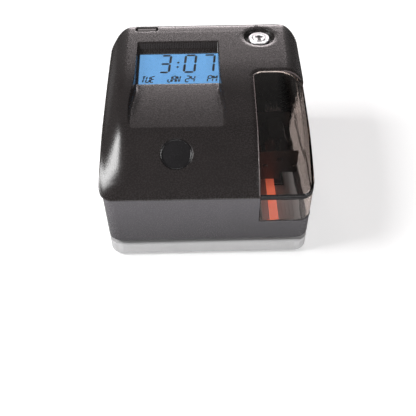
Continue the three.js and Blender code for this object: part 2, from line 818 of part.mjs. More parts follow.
function displayHolder() {
  const cheek = 3;
  const below = moduleTop - moduleThickness - seat;
  const tall = topHeight - boardTop;
  const under = moduleBlock(0, [below - tall, below]);
  const window = moduleBlock(cheek, [below - 2 * tall, below + tall]);
  const above = block([-bodyWidth, bodyWidth], [0, bodyDepth], [boardTop + seat, topHeight]);
  return cut(under, window).intersect(above);
}

function mainBoard() {
  const switchHalf = 3;
  const into = boardThickness / 2;
  const heights = [boardBottom, boardTop];
  const plate = block([boardLeft, boardRight], [boardFront, boardRear], heights);
  const switches = buttonPlaces().map(([x, y]) => block([x - switchHalf, x + switchHalf],
    [y - switchHalf, y + switchHalf], [boardTop - into, boardTop + switchHeight]));
  const chipHeight = 2.2;
  const chip = block([boardLeft / 2, displayX], [boardRear - 3 * buttonPitch / 2, boardRear - buttonPitch / 2],
    [boardTop - into, boardTop + chipHeight]);
  return join(plate, ...switches, chip);
}

function buttonPlaces() {
  const first = boardFront + buttonPitch / 2;
  return Array.from({ length: buttonCount }, (_, i) => [buttonX, first + i * buttonPitch]);
}

function button([x, y]) {
  const travelGap = 0.6;
  const bottom = boardTop + switchHeight + travelGap;
  const height = 7;
  const radius = 2.6;
  const dome = 0.8;
  const geometry = turned([
    [0, bottom], [radius, bottom], [radius, bottom + height - dome], [radius - dome, bottom + height],
    [0, bottom + height],
  ], smallSides);
  return solid(geometry.translate(x, y, 0));
}

// The key lock: a turned cylinder held by a nut, the plug in its bore and the cam below it
const lockFaceSink = 1.4;
const lockFace = topHeight - lockFaceSink;
const lockHeadRadius = 9.25;
const lockBarrelRadius = 8;
const plugRadius = 5.5;
const plugProud = 2;
const plugBottom = boardTop;
const lockBottom = plugBottom + plugProud;
const camThickness = 2.4;

function lockCylinder() {
  const bore = plugRadius + running;
  const rim = topHeight - wellSink + seat;
  const chamfer = 0.6;
  const geometry = turned([
    [bore, lockBottom], [lockBarrelRadius, lockBottom], [lockBarrelRadius, rim], [lockHeadRadius, rim],
    [lockHeadRadius, lockFace - chamfer], [lockHeadRadius - chamfer, lockFace], [bore, lockFace],
    [bore, lockBottom],
  ]);
  return solid(geometry.translate(lockX, lockDepth, 0));
}

function lockNut() {
  const nutRadius = 12;
  const nutThickness = 4;
  const top = topHeight - wellSink - wall - seat;
  const hexagon = 6;
  return cut(post(nutRadius, [top - nutThickness, top], [lockX, lockDepth], hexagon),
    post(lockBarrelRadius + running, [top - nutThickness - overrun, top + overrun], [lockX, lockDepth], roundSides));
}

function lockPlug() {
  const keyHalf = 0.9;
  const keyLength = 3.6;
  const keyDepth = 4;
  const proud = 0.3;
  const top = lockFace + proud;
  const plug = post(plugRadius, [plugBottom, top], [lockX, lockDepth], roundSides);
  return cut(plug, block([lockX - keyHalf, lockX + keyHalf], [lockDepth - keyLength, lockDepth + keyLength / 2],
    [top - keyDepth, top + overrun]));
}

function lockCam() {
  const camHalf = 4.5;
  const camGap = 14;
  const camMargin = 1;
  const camReach = halfWidth - lockX - camGap;
  const top = plugBottom - seat;
  const heights = [top - camThickness, top];
  const arm = block([lockX, lockX + camReach], [lockDepth - camHalf, lockDepth + camHalf], heights);
  return join(post(plugRadius + camMargin, heights, [lockX, lockDepth], roundSides), arm);
}

function emblemDisc() {
  const radius = emblemRadius - seat;
  const ringDrop = 0.5;
  const dome = 0.3;
  const faceSink = 0.35;
  const ringShare = 0.88;
  const fieldShare = 0.82;
  const low = seat - emblemSink;
  const geometry = turned([
    [0, low], [radius, low], [radius, -faceSink], [radius * ringShare, -faceSink],
    [radius * fieldShare, -faceSink - ringDrop], [0, dome - faceSink - ringDrop],
  ]);
  return solid(onEmblem(geometry));
}

function rearHook() {
  const topSink = 1.4;
  const taper = 1;
  const top = topHeight - topSink;
  const rear = hookFront + hookThickness;
  const side = polygon([
    [hookFront, headFloor + seat], [rear, headFloor + seat],
    [rear, top], [hookFront + taper, top], [hookFront, top - taper],
  ]);
  return sideSlab(side, [hookLeft, hookRight]);
}

// The print unit's sheet steel frame with its two uprights and the motor's plate
const gearTeeth = 28;
const pinionTeeth = 10;
const toothModule = 0.8;
const gearGap = 2.2;
const gearThickness = 4;
const motorPlateGap = 0.8;
const backlash = 0.15;
const gearFront = frameRear + sheet + gearGap;
const motorPlate = gearFront + gearThickness + motorPlateGap;
const gearDistance = toothModule * (gearTeeth + pinionTeeth) / 2 + backlash;
const pinionAngle = THREE.MathUtils.degToRad(225);
const motorX = screwX + gearDistance * Math.cos(pinionAngle);
const motorHeight = screwHeight + gearDistance * Math.sin(pinionAngle);
const motorRadius = 10;
const motorShaft = 1.2;
const shaftProud = 0.4;

function printFrame() {
  const left = frameLeft;
  const sideGap = 1;
  const flangeRight = bayLeft - sideGap;
  const right = bayRight - sideGap;
  const uprightRise = 16;
  const sillRise = 1.3;
  const stepDrop = 6.6;
  const low = headFloor + seat;
  const high = rodHeight + uprightRise;
  const sill = armTop + sillRise;
  const step = rodHeight - stepDrop;
  const shelf = headFloor + seat + sheet;
  const flange = block([left, flangeRight], [frameFront, motorPlate + sheet], [low, shelf]);
  const front = frontSlab(polygon([
    [left, low], [flangeRight, low], [flangeRight, sill], [screwX, sill], [screwX, step], [right, step],
    [right, high], [left, high],
  ]), [frameFront, frameFront + sheet]);
  const rear = block([left, right], [frameRear, frameRear + sheet], [low, high]);
  const plate = block([left, screwX], [motorPlate, motorPlate + sheet], [low, screwHeight]);
  const web = block([left, left + sheet], [frameRear, motorPlate + sheet], [low, screwHeight]);
  const ends = [frameFront - overrun, frameRear + sheet + overrun / 2];
  const past = [frameRear, motorPlate + sheet + overrun];
  return cut(join(flange, front, rear, plate, web),
    shaft(rodRadius + seat, ends, [rodLeftX, rodHeight]),
    shaft(rodRadius + seat, ends, [rodRightX, rodHeight]),
    shaft(screwRadius + running, ends, [screwX, screwHeight]),
    shaft(2 * motorShaft, [motorPlate - overrun / 4, past[1]], [motorX, motorHeight]));
}

function guideRod(x) {
  return shaft(rodRadius, [frameFront - rodProud, frameRear + sheet + rodProud], [x, rodHeight]);
}

const wingDrop = 5;

function printCarriage() {
  const leftMargin = 1.4;
  const rightMargin = 0.9;
  const wingRise = 4.5;
  const humpRise = 6;
  const left = rodLeftX - rodRadius - leftMargin;
  const right = rodRightX + rodRadius + rightMargin;
  const wingLow = rodHeight - wingDrop;
  const wingHigh = rodHeight + wingRise;
  const humpHigh = screwHeight + humpRise;
  const humpHalf = 8;
  const slope = 3;
  const front = carriageRear - carriageLength;
  const profile = polygon([
    [left, wingLow], [right, wingLow], [right, wingHigh], [screwX + humpHalf + slope, wingHigh],
    [screwX + humpHalf, humpHigh], [screwX - humpHalf, humpHigh], [screwX - humpHalf - slope, wingHigh],
    [left, wingHigh],
  ]);
  const ends = [front - overrun, carriageRear + overrun];
  return cut(frontSlab(profile, [front, carriageRear]),
    shaft(rodRadius + running, ends, [rodLeftX, rodHeight]),
    shaft(rodRadius + running, ends, [rodRightX, rodHeight]),
    shaft(screwRadius + running, ends, [screwX, screwHeight]));
}

function printHead() {
  const armGap = 0.5;
  const top = rodHeight - wingDrop - seat;
  const bodyLow = armTop + armGap;
  const noseLow = ribbonHeight + ribbonThickness + seat;
  const bodyHalf = 8.5;
  const noseHalf = 2.5;
  const noseTopHalf = 6;
  const bodyLong = 10;
  const noseLong = 4;
  const noseTopLong = 5.4;
  const finCount = 5;
  const finGap = 1.2;
  const middle = carriageRear - carriageLength / 2;
  const body = block([printX - bodyHalf, printX + bodyHalf], [middle - bodyLong, middle + bodyLong], [bodyLow, top]);
  const across = frontSlab(polygon([
    [printX - noseHalf, noseLow], [printX + noseHalf, noseLow],
    [printX + noseTopHalf, bodyLow], [printX + noseTopHalf, top - seat],
    [printX - noseTopHalf, top - seat], [printX - noseTopHalf, bodyLow],
  ]), [middle - bodyLong, middle + bodyLong]);
  const along = sideSlab(polygon([
    [middle - noseLong, noseLow], [middle + noseLong, noseLow],
    [middle + noseTopLong, bodyLow], [middle + noseTopLong, top - seat],
    [middle - noseTopLong, top - seat], [middle - noseTopLong, bodyLow],
  ]), [printX - bodyHalf, printX + bodyHalf]);
  const pitch = (top - bodyLow) / finCount;
  const gaps = Array.from({ length: finCount - 1 }, (_, i) => {
    const z = bodyLow + (i + 1) * pitch;
    return [-1, 1].map((side) => {
      const ends = [printX + side * noseTopHalf, printX + side * (bodyHalf + overrun)].sort((a, b) => a - b);
      return block(ends, [middle - bodyLong - overrun, middle + bodyLong + overrun],
        [z - finGap / 2, z + finGap / 2]);
    });
  }).flat();
  return cut(join(body, across.intersect(along)), ...gaps);
}

function driveScrew() {
  return shaft(screwRadius, [frameFront - rodProud, gearFront + gearThickness + shaftProud], [screwX, screwHeight]);
}

// A spur gear with straight-sided teeth that keep a backlash at the pitch circle
function gearShape(teeth, turn) {
  const rootShare = 1.25;
  const tipShare = 0.85;
  const pitchRadius = toothModule * teeth / 2;
  const rootRadius = pitchRadius - rootShare * toothModule;
  const tipRadius = pitchRadius + tipShare * toothModule;
  const edgeShares = [[-0.31, 0], [-0.1, 1], [0.1, 1], [0.31, 0]];
  const shape = new THREE.Shape();
  for (let i = 0; i < teeth; i += 1) {
    edgeShares.forEach(([across, out]) => {
      const angle = turn + (2 * Math.PI * (i + across)) / teeth;
      const radius = out ? tipRadius : rootRadius;
      const [x, y] = [radius * Math.cos(angle), radius * Math.sin(angle)];
      if (i === 0 && across === edgeShares[0][0]) shape.moveTo(x, y);
      else shape.lineTo(x, y);
    });
  }
  return shape;
}

function gearWheel(teeth, turn, [x, z], bore) {
  const wheel = frontSlab(gearShape(teeth, turn), [gearFront, gearFront + gearThickness]).translate([x, 0, z]);
  return cut(wheel, shaft(bore, [gearFront - overrun, gearFront + gearThickness + overrun], [x, z]));
}

function screwGear() {
  return gearWheel(gearTeeth, pinionAngle, [screwX, screwHeight], screwRadius + seat / 2);
}

function motorPinion() {
  const facing = pinionAngle + Math.PI + Math.PI / pinionTeeth;
  return gearWheel(pinionTeeth, facing, [motorX, motorHeight], motorShaft + seat / 2);
}

function driveMotor() {
  const length = 24;
  const neck = 3;
  const bossRadius = 2;
  const front = motorPlate + sheet + seat;
  return join(shaft(motorRadius, [front, front + length], [motorX, motorHeight], roundSides),
    shaft(bossRadius, [front + length - neck / 2, front + length + neck], [motorX, motorHeight]),
    shaft(motorShaft, [gearFront - shaftProud, front + length / 2], [motorX, motorHeight]));
}

function ribbonCartridge() {
  const low = headFloor + seat + sheet + seat;
  const corner = 4;
  const tipMargin = 0.5;
  const tipLow = ribbonHeight + ribbonThickness + seat;
  const ribbonHalf = ribbonWidth / 2 + tipMargin;
  const tipRight = printX + ribbonHalf;
  const tipLeft = printX - ribbonHalf;
  const body = slab(roundedOutline(cartridgeLeft, cartridgeRight, armFront, armRear, corner, corner),
    [low, cartridgeTop]);
  const arm = polygon([
    [cartridgeRight - wall, low], [tipLeft, low], [tipLeft, tipLow], [tipRight, tipLow],
    [tipRight, armTop - wall], [tipRight - wall, armTop], [cartridgeRight - wall, armTop],
  ]);
  const front = frontSlab(arm, [armFront, armFront + armThickness]);
  const rear = frontSlab(arm, [armRear - armThickness, armRear]);
  const shoulderBlocks = [[armFront, armFront + 2 * corner], [armRear - 2 * corner, armRear]].map((ends) =>
    block([cartridgeRight - corner, cartridgeRight], ends, [low, armTop]));
  return join(body, front, rear, ...shoulderBlocks);
}

function ribbonKnob() {
  const radius = 7.5;
  const height = 5;
  const gripCount = 12;
  const gripRadius = 0.9;
  const bottom = cartridgeTop + seat;
  const grips = Array.from({ length: gripCount }, (_, i) => {
    const angle = (2 * Math.PI * i) / gripCount;
    return post(gripRadius, [bottom - overrun, bottom + height + overrun],
      [knobX + radius * Math.cos(angle), knobDepth + radius * Math.sin(angle)], gripSides);
  });
  const key = block([knobX - radius / 2, knobX + radius / 2], [knobDepth - gripRadius, knobDepth + gripRadius],
    [bottom + height - gripRadius, bottom + height + overrun]);
  return cut(post(radius, [bottom, bottom + height], [knobX, knobDepth], roundSides), ...grips, key);
}

function inkRibbon() {
  const low = ribbonHeight;
  const high = low + ribbonThickness;
  const endDrop = 2.7;
  const endHigh = armTop - endDrop;
  const outFront = armFront - seat - ribbonThickness;
  const outRear = armRear + seat + ribbonThickness;
  const inFront = armFront - seat;
  const inRear = armRear + seat;
  const profile = polygon([
    [outFront, low], [outRear, low], [outRear, endHigh], [inRear, endHigh],
    [inRear, high], [inFront, high], [inFront, endHigh], [outFront, endHigh],
  ]);
  return sideSlab(profile, [printX - ribbonWidth / 2, printX + ribbonWidth / 2]);
}

function guideStrip() {
  const leftGap = 3;
  const left = bayLeft + leftGap;
  const width = 7.6;
  const thickness = 1.4;
  const overlap = 5;
  const low = headFloor + seat;
  return block([left, left + width], [bayFront - overlap, frameRear - overlap / 4], [low, low + thickness]);
}

// The whole machine
function part(name, shape, colour) {
  const mesh = new THREE.Mesh(geometryOf(shape), new THREE.MeshStandardMaterial(colours[colour]));
  mesh.name = name;
  return mesh;
}

const machine = new THREE.Group();
machine.position.set((overhangLeft - overhangRight) / 2,
  -(bodyDepth + overhangRear - overhangFront) / 2, 0);

const base = new THREE.Group();
base.add(part('base_tray', baseTray(), 'base'));
base.add(part('bottom_plate', bottomPlate(), 'steel'));
base.add(part('platen', platen(), 'rubber'));
base.add(part('paper_stop', paperStop(), 'dark'));
footPlaces.forEach((at, i) => base.add(part(`foot_${i + 1}`, foot(at), 'rubber')));
fastenerPlaces.forEach((at, i) => base.add(part(`base_screw_${i + 1}`, baseScrew(at), 'steel')));
base.add(part('rear_column', rearColumn(), 'base'));

const head = new THREE.Group();
head.add(part('lower_housing', lowerHousing(), 'housing'));
head.add(part('lower_window', lowerWindow(), 'smoke'));
head.add(part('rear_hook', rearHook(), 'ivory'));
head.add(part('dc_jack', dcJack(), 'dark'));
head.add(part('trigger_lever', triggerLever(), 'dark'));
head.add(part('trigger_pin', triggerPin(), 'steel'));
head.add(part('main_board', mainBoard(), 'board'));
head.add(part('display_holder', displayHolder(), 'dark'));
head.add(part('lcd_module', lcdModule(), 'display'));
buttonPlaces().forEach((at, i) => head.add(part(`button_${i + 1}`, button(at), 'ivory')));

const cover = new THREE.Group();
cover.add(part('top_cover', topCover(), 'cover'));
cover.add(part('upper_window', upperWindow(), 'smoke'));
cover.add(part('lcd_lens', lcdLens(), 'clear'));
cover.add(part('emblem_disc', emblemDisc(), 'dark'));
cover.add(part('lock_cylinder', lockCylinder(), 'chrome'));
cover.add(part('lock_nut', lockNut(), 'steel'));
cover.add(part('lock_plug', lockPlug(), 'chrome'));
cover.add(part('lock_cam', lockCam(), 'steel'));

const printer = new THREE.Group();
printer.add(part('print_frame', printFrame(), 'steel'));
printer.add(part('guide_rod_left', guideRod(rodLeftX), 'chrome'));
printer.add(part('guide_rod_right', guideRod(rodRightX), 'chrome'));
printer.add(part('print_carriage', printCarriage(), 'dark'));
printer.add(part('print_head', printHead(), 'dark'));
printer.add(part('drive_screw', driveScrew(), 'steel'));
printer.add(part('screw_gear', screwGear(), 'ivory'));
printer.add(part('motor_pinion', motorPinion(), 'ivory'));
printer.add(part('drive_motor', driveMotor(), 'steel'));
printer.add(part('ribbon_cartridge', ribbonCartridge(), 'dark'));
printer.add(part('ribbon_knob', ribbonKnob(), 'ivory'));
printer.add(part('ink_ribbon', inkRibbon(), 'dark'));
printer.add(part('guide_strip', guideStrip(), 'red'));

machine.add(base, head, cover, printer);

export default machine;
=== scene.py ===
"""Date and time stamp machine: the looks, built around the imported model."""
import json
import math

import bmesh
import bpy
import numpy as np
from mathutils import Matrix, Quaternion, Vector

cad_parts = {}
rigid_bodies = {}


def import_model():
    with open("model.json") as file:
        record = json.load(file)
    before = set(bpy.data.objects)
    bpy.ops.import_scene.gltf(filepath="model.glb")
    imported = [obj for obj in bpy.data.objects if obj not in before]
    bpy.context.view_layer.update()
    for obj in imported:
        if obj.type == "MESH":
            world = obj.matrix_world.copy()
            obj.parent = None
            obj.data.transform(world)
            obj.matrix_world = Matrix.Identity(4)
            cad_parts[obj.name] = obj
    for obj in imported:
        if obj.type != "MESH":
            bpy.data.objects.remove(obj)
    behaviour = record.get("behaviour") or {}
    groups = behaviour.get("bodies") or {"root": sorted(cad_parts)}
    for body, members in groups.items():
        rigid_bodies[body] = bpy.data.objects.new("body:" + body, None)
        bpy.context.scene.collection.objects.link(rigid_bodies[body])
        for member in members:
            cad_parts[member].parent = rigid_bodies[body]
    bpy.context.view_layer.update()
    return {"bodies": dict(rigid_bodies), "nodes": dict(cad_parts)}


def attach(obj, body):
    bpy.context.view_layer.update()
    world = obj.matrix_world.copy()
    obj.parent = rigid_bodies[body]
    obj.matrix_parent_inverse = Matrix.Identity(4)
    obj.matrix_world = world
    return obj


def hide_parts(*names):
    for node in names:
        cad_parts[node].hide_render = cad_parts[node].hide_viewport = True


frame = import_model()
scene = bpy.context.scene
nodes = frame["nodes"]
loaded = set(nodes.values()) | set(frame["bodies"].values())
for other in [thing for thing in bpy.data.objects if thing not in loaded]:
    bpy.data.objects.remove(other)

# Sizes in millimetres, in the drawn frame: X runs right, Y back from the front face, Z up from the table
MM = 0.001
SHIFT = np.array((1.3, -88.85, 0.0))
WIDTH, DEPTH = 160.0, 178.0
HALF = WIDTH / 2
FOOT, TABLE, HEAD, FLOOR = 3.0, 15.0, 20.0, 22.5
PARTING, TOP = 66.8, 107.0
RISE = TOP - PARTING
WALL, ROOF = 2.5, 3.1
GAP, PAST = 0.3, 2.0
ABOVE = TOP + PAST

# How far the cover stands over the body's nominal sides, and the body itself at the left
OVER_LEFT, OVER_RIGHT, OVER_FRONT, OVER_REAR, BODY_LEFT = 3.8, 1.2, 0.8, 0.5, 2.0
FRONT_RADIUS, REAR_RADIUS, COVER_REAR_LEFT_RADIUS = 11.0, 20.0, 26.0

# The cover's lines: shares of the depth, and there the share of the rise above the parting (crown and
# shoulder), of the half width (crease), or the power with which the top falls from crease to edge (bend)
CROWN = ([0, 0.067, 0.247, 0.506, 0.618, 0.98, 1], [0.03, 0.313, 0.764, 0.975, 1, 1, 0.965])
SHOULDER = ([0, 0.034, 0.157, 0.312, 0.652, 1], [0.015, 0.095, 0.304, 0.473, 0.624, 0.74])
CREASE = ([0, 0.084, 0.3, 0.56, 1], [0.79, 0.8, 0.82, 0.825, 0.83])
BEND = ([0, 0.12, 0.35, 0.6, 1], [1.35, 1.4, 1.75, 2.0, 2.0])
WINDOW_BEND = 1.15

# How far to each side a line is averaged: across the cover, across the window, and along the depth
SOFT, ROUND = 3.6, 8.0
SHALLOW, DEEP, END_SHARE = 1.5, 9.0, 0.8
COVER_SPAN = ((-88, 88), (-4, 182))
FINE_STEP, COARSE_STEP, WINDOW_STEP = (1.0, 1.0), (2.0, 2.0), (0.5, 1.6)
VOXEL, EASING, EASES, FACES_KEPT = 0.52, 0.5, 3, 0.2

WINDOW_LEFT, WINDOW_REAR, WINDOW_BOTTOM, WINDOW_WALL, WINDOW_RADIUS = 38.6, 105.5, 40.124, 2.2, 7.0
WINDOW_GAP = 0.4
WINDOW_FALL, WINDOW_FALL_RUN, WELL_FALL, WELL_FALL_RUN = 1.0, 3.5, 0.35, 3.2
SIDE_START = 14.0

DISPLAY_X, DISPLAY_WIDTH, DISPLAY_FRONT, DISPLAY_RUN = -23.95, 69.7, 104.4, 37.0
DISPLAY_LEFT = DISPLAY_X - DISPLAY_WIDTH / 2
DISPLAY_SINK, DISPLAY_TILT = 11.0, math.radians(8)
RECESS_RUN, RECESS_RISE = 10.2, 4.5
LENS_ACROSS, LENS_BACK = (-33.0, 34.5), (0.4, DISPLAY_RUN + 0.1)
INK_LOW, INK_HIGH = -0.8, -0.72
RAMP_FRONT, RAMP_BACK, FLARE_LEFT, FLARE_RIGHT, FLARE_RUN = 47.0, 105.4, 3.3, 3.7, 38.0

LOCK_X, LOCK_Y, LOCK_FACE, LOCK_HOLE, WELL_RADIUS, WELL_SINK = 47.0, 156.5, 105.6, 8.3, 13.4, 3.4
EMBLEM_X, EMBLEM_Y, EMBLEM_RADIUS, EMBLEM_SINK = -24.3, 27.5, 12.25, 1.4
HOOK_LEFT, HOOK_RIGHT, HOOK_FRONT, HOOK_REAR, HOOK_TOP = -60.4, -43.8, 170.2, 173.8, 106.2
JACK_X, JACK_Z = -30, 36

FASTENERS = [(x, y) for y in (132.0, 160.0) for x in (-52.0, 52.0)]
FEET = [(x, y) for y in (16.0, 158.0) for x in (-64.0, 64.0)]
HOLE_RADIUS, BOSS_RADIUS = 2.1, 5
BOARD_POSTS, POST_RADIUS = ((-70, 106), (-70, 162), (14, 112), (30, 162)), 3.5
BOARD_TOP, BOARD_THICKNESS = 81.6, 1.6
BAY_ACROSS, BAY_BACK = (44, 77), (12, 103.5)
TRIGGER_ACROSS, TRIGGER_BACK, TRIGGER_Y, EAR_THICKNESS = (-6.8, -3.2), (92.5, 103.5), 96.0, 1.8
PLATEN_ACROSS, PLATEN_BACK = (53.7, 68.3), (66.7, 102.8)
STOP_ACROSS, STOP_BACK = (-42.4, -37.6), (56, 103.7)

RODS, ROD_Z, SCREW_X, SCREW_Z = (48.0, 73.0), 46.0, 60.0, 52.0
SCREW_RADIANS_PER_METRE = 571.19
MOTOR_X, MOTOR_Z = 49.146, 41.146
KNOB_X, KNOB_Y = 16, 83
KEY_X, KEY_FIRST, KEY_PITCH = 24, 104.5, 13


def put(name, data):
    made = bpy.data.objects.new(name, data)
    scene.collection.objects.link(made)
    return made


def make_camera():
    """The photograph's view, worked out from its vanishing lines."""
    pitch, yaw, roll = math.radians(47.8), math.radians(0.4), math.radians(0.8)
    data = bpy.data.cameras.new("camera")
    data.sensor_width, data.lens = 36.0, 52.88
    camera = put("camera", data)
    forward = Vector((math.sin(yaw) * math.cos(pitch), math.cos(yaw) * math.cos(pitch), -math.sin(pitch)))
    camera.rotation_mode = "QUATERNION"
    camera.rotation_quaternion = forward.to_track_quat("-Z", "Y") @ Quaternion((0, 0, 1), -roll)
    camera.location = (-0.0019, -0.40305, 0.4033)
    scene.camera = camera


make_camera()


# Materials: each takes its colour, roughness and relief from noise in the piece's own coordinates
def noise(tree, coords, scale, stretch):
    source = coords
    if stretch:
        mapping = tree.nodes.new("ShaderNodeMapping")
        mapping.inputs["Scale"].default_value = stretch
        tree.links.new(coords, mapping.inputs["Vector"])
        source = mapping.outputs["Vector"]
    node = tree.nodes.new("ShaderNodeTexNoise")
    node.inputs["Scale"].default_value = scale
    node.inputs["Detail"].default_value = 3.0
    tree.links.new(source, node.inputs["Vector"])
    return node.outputs["Fac"]


def spread(tree, value, low, high, from_low=0.3, from_high=0.7):
    node = tree.nodes.new("ShaderNodeMapRange")
    for name, number in (("From Min", from_low), ("From Max", from_high), ("To Min", low), ("To Max", high)):
        node.inputs[name].default_value = number
    tree.links.new(value, node.inputs["Value"])
    return node.outputs["Result"]


def blend_colour(tree, value, one, two):
    node = tree.nodes.new("ShaderNodeMix")
    node.data_type = "RGBA"
    node.inputs["A"].default_value = (*one, 1)
    node.inputs["B"].default_value = (*two, 1)
    tree.links.new(value, node.inputs["Factor"])
    return node.outputs["Result"]


def veil(tree, colour, factor):
    node = tree.nodes.new("ShaderNodeMix")
    node.data_type, node.blend_type = "RGBA", "MULTIPLY"
    node.inputs["Factor"].default_value = 1.0
    tree.links.new(colour, node.inputs["A"])
    tree.links.new(factor, node.inputs["B"])
    return node.outputs["Result"]


def axis_of(tree, coords, axis):
    split = tree.nodes.new("ShaderNodeSeparateXYZ")
    tree.links.new(coords, split.inputs["Vector"])
    return split.outputs[axis]


def worked_out(tree, kind, *values, operation=None):
    """The output of a new node whose inputs are these values, in order."""
    node = tree.nodes.new(kind)
    if operation:
        node.operation = operation
    for place, value in enumerate(values):
        tree.links.new(value, node.inputs[place])
    return node.outputs[0]


def material(name, colour, rough, grain=0.0005, relief=0.0, tint=0.05, wide=0.012, rough_spread=0.04,
             stretch=None, metal=0.0, deep=0.00012, painted_shade_by_height=None, **sockets):
    made = bpy.data.materials.new(name)
    made.use_nodes = True
    tree = made.node_tree
    shader = tree.nodes["Principled BSDF"]
    coords = tree.nodes.new("ShaderNodeTexCoord").outputs["Object"]
    broad, fine = noise(tree, coords, 1 / wide, stretch), noise(tree, coords, 1 / grain, stretch)
    dark = [c * (1 - tint) for c in colour]
    light = [min(1.0, c * (1 + tint)) for c in colour]
    mixed = blend_colour(tree, spread(tree, broad, 0, 1), dark, light)
    mixed = veil(tree, mixed, spread(tree, fine, 1 - tint, 1 + tint))
    # Painted shade: the colour darkens towards the bottom, by the piece's height
    if painted_shade_by_height:
        mixed = veil(tree, mixed, spread(tree, axis_of(tree, coords, "Z"), *painted_shade_by_height))
    tree.links.new(mixed, shader.inputs["Base Color"])
    tree.links.new(spread(tree, fine, rough - rough_spread, rough + rough_spread), shader.inputs["Roughness"])
    shader.inputs["Metallic"].default_value = metal
    for key, number in sockets.items():
        shader.inputs[key.replace("_", " ")].default_value = number
    if relief:
        bump = tree.nodes.new("ShaderNodeBump")
        bump.inputs["Strength"].default_value = relief
        bump.inputs["Distance"].default_value = deep
        tree.links.new(fine, bump.inputs["Height"])
        tree.links.new(bump.outputs["Normal"], shader.inputs["Normal"])
    return made


def absorbing(made, colour, density):
    tree = made.node_tree
    volume = tree.nodes.new("ShaderNodeVolumeAbsorption")
    volume.inputs["Color"].default_value = (*colour, 1)
    volume.inputs["Density"].default_value = density
    tree.links.new(volume.outputs["Volume"], tree.nodes["Material Output"].inputs["Volume"])
    return made


def glowing(made, colour, strength, span=None, faded=0.02):
    """Light from the piece itself, everywhere, or fading out over a span of its depth; on the red strip this
    is painted light, and its fade is painted shade.
    """
    tree = made.node_tree
    shader = tree.nodes["Principled BSDF"]
    shader.inputs["Emission Color"].default_value = (*colour, 1)
    shader.inputs["Emission Strength"].default_value = strength
    if span:
        depth = axis_of(tree, tree.nodes["Texture Coordinate"].outputs["Object"], "Y")
        tree.links.new(spread(tree, depth, strength, faded, *span), shader.inputs["Emission Strength"])
    return made


SEE_THROUGH = {"grain": 0.003, "tint": 0.01, "rough_spread": 0.01, "Transmission_Weight": 1.0, "IOR": 1.49}
M = {
    "cover": material("cover_plastic", (0.020, 0.0165, 0.0162), 0.27, grain=0.0011, relief=0.22, tint=0.1,
                      deep=0.00014),
    # The housing carries painted shade, darker towards the bottom
    "housing": material("housing_plastic", (0.118, 0.110, 0.121), 0.26, grain=0.0008, relief=0.03, tint=0.03,
                        painted_shade_by_height=(0.45, 1.0, 0.018, 0.066)),
    "base": material("base_plastic", (0.52, 0.515, 0.52), 0.42, relief=0.12, tint=0.03),
    "dark": material("dark_plastic", (0.018, 0.016, 0.016), 0.42, grain=0.0004, relief=0.15, tint=0.15),
    "light": material("light_plastic", (0.30, 0.275, 0.28), 0.35, relief=0.06, tint=0.04),
    "hook": material("hook_plastic", (0.10, 0.09, 0.09), 0.5, relief=0.06),
    "smoke": absorbing(material("smoked_plastic", (0.98, 0.96, 0.95), 0.03, **SEE_THROUGH),
                       (0.45, 0.27, 0.17), 130),
    "clear": material("clear_plastic", (0.98, 0.99, 1.0), 0.03, **SEE_THROUGH),
    "rubber": material("rubber", (0.016, 0.016, 0.017), 0.8, grain=0.0003, relief=0.4, tint=0.2),
    "steel": material("zinc_steel", (0.52, 0.53, 0.55), 0.34, grain=0.0009, relief=0.04, tint=0.07,
                      metal=1.0, stretch=(1, 6, 1)),
    "black": material("black_zinc", (0.075, 0.062, 0.058), 0.38, grain=0.0009, relief=0.04, tint=0.1,
                      metal=1.0),
    "chrome": material("bright_steel", (0.86, 0.86, 0.87), 0.4, grain=0.0006, tint=0.02,
                       rough_spread=0.02, metal=1.0),
    "aluminium": material("aluminium", (0.62, 0.63, 0.65), 0.36, grain=0.0004, relief=0.08, metal=1.0),
    # Painted light: the red strip glows, brightest at the front and fading to painted shade towards the rear
    "red": glowing(material("red_plastic_painted_glow", (0.80, 0.15, 0.075), 0.3, grain=0.002, relief=0.02, tint=0.06),
                   (1.0, 0.20, 0.11), 0.65, (-0.040, -0.012)),
    "ink": material("ink_fabric", (0.012, 0.010, 0.016), 0.75, grain=0.0002, relief=0.6, tint=0.2),
    "board": material("circuit_board", (0.012, 0.085, 0.032), 0.38, grain=0.0012, relief=0.1, tint=0.3),
    "rib": material("rib_plastic", (0.034, 0.030, 0.031), 0.4, grain=0.0006, relief=0.2, tint=0.12),
    "rim": material("rim_plastic", (0.16, 0.13, 0.13), 0.22, grain=0.001, tint=0.06),
    "gloss": material("gloss_plastic", (0.014, 0.013, 0.014), 0.14, grain=0.0012, relief=0.01, tint=0.1,
                      rough_spread=0.02),
    "panel": glowing(material("lit_panel", (0.05, 0.13, 0.25), 0.3, grain=0.002), (0.16, 0.40, 0.74), 0.9),
    "segment": material("segment_ink", (0.045, 0.042, 0.05), 0.35, grain=0.001),
}


# Meshes: points in the drawn frame become metres of the row frame
def new_object(name, points, faces):
    mesh = bpy.data.meshes.new(name)
    mesh.from_pydata(((np.asarray(points, float) + SHIFT) * MM).tolist(), [], faces)
    work = bmesh.new()
    work.from_mesh(mesh)
    bmesh.ops.recalc_face_normals(work, faces=work.faces)
    work.to_mesh(mesh)
    work.free()
    return put(name, mesh)


def stack(name, loops, bore=False):
    """A solid through loops of points, closed by a cap at each end or, with a bore, on itself."""
    count = len(loops[0])
    faces = []
    for k in range(len(loops) if bore else len(loops) - 1):
        a, b = k * count, (k + 1) % len(loops) * count
        faces += [(a + i, a + (i + 1) % count, b + (i + 1) % count, b + i) for i in range(count)]
    if not bore:
        faces += [tuple(range(count))[::-1], tuple((len(loops) - 1) * count + i for i in range(count))]
    return new_object(name, [p for loop in loops for p in loop], faces)


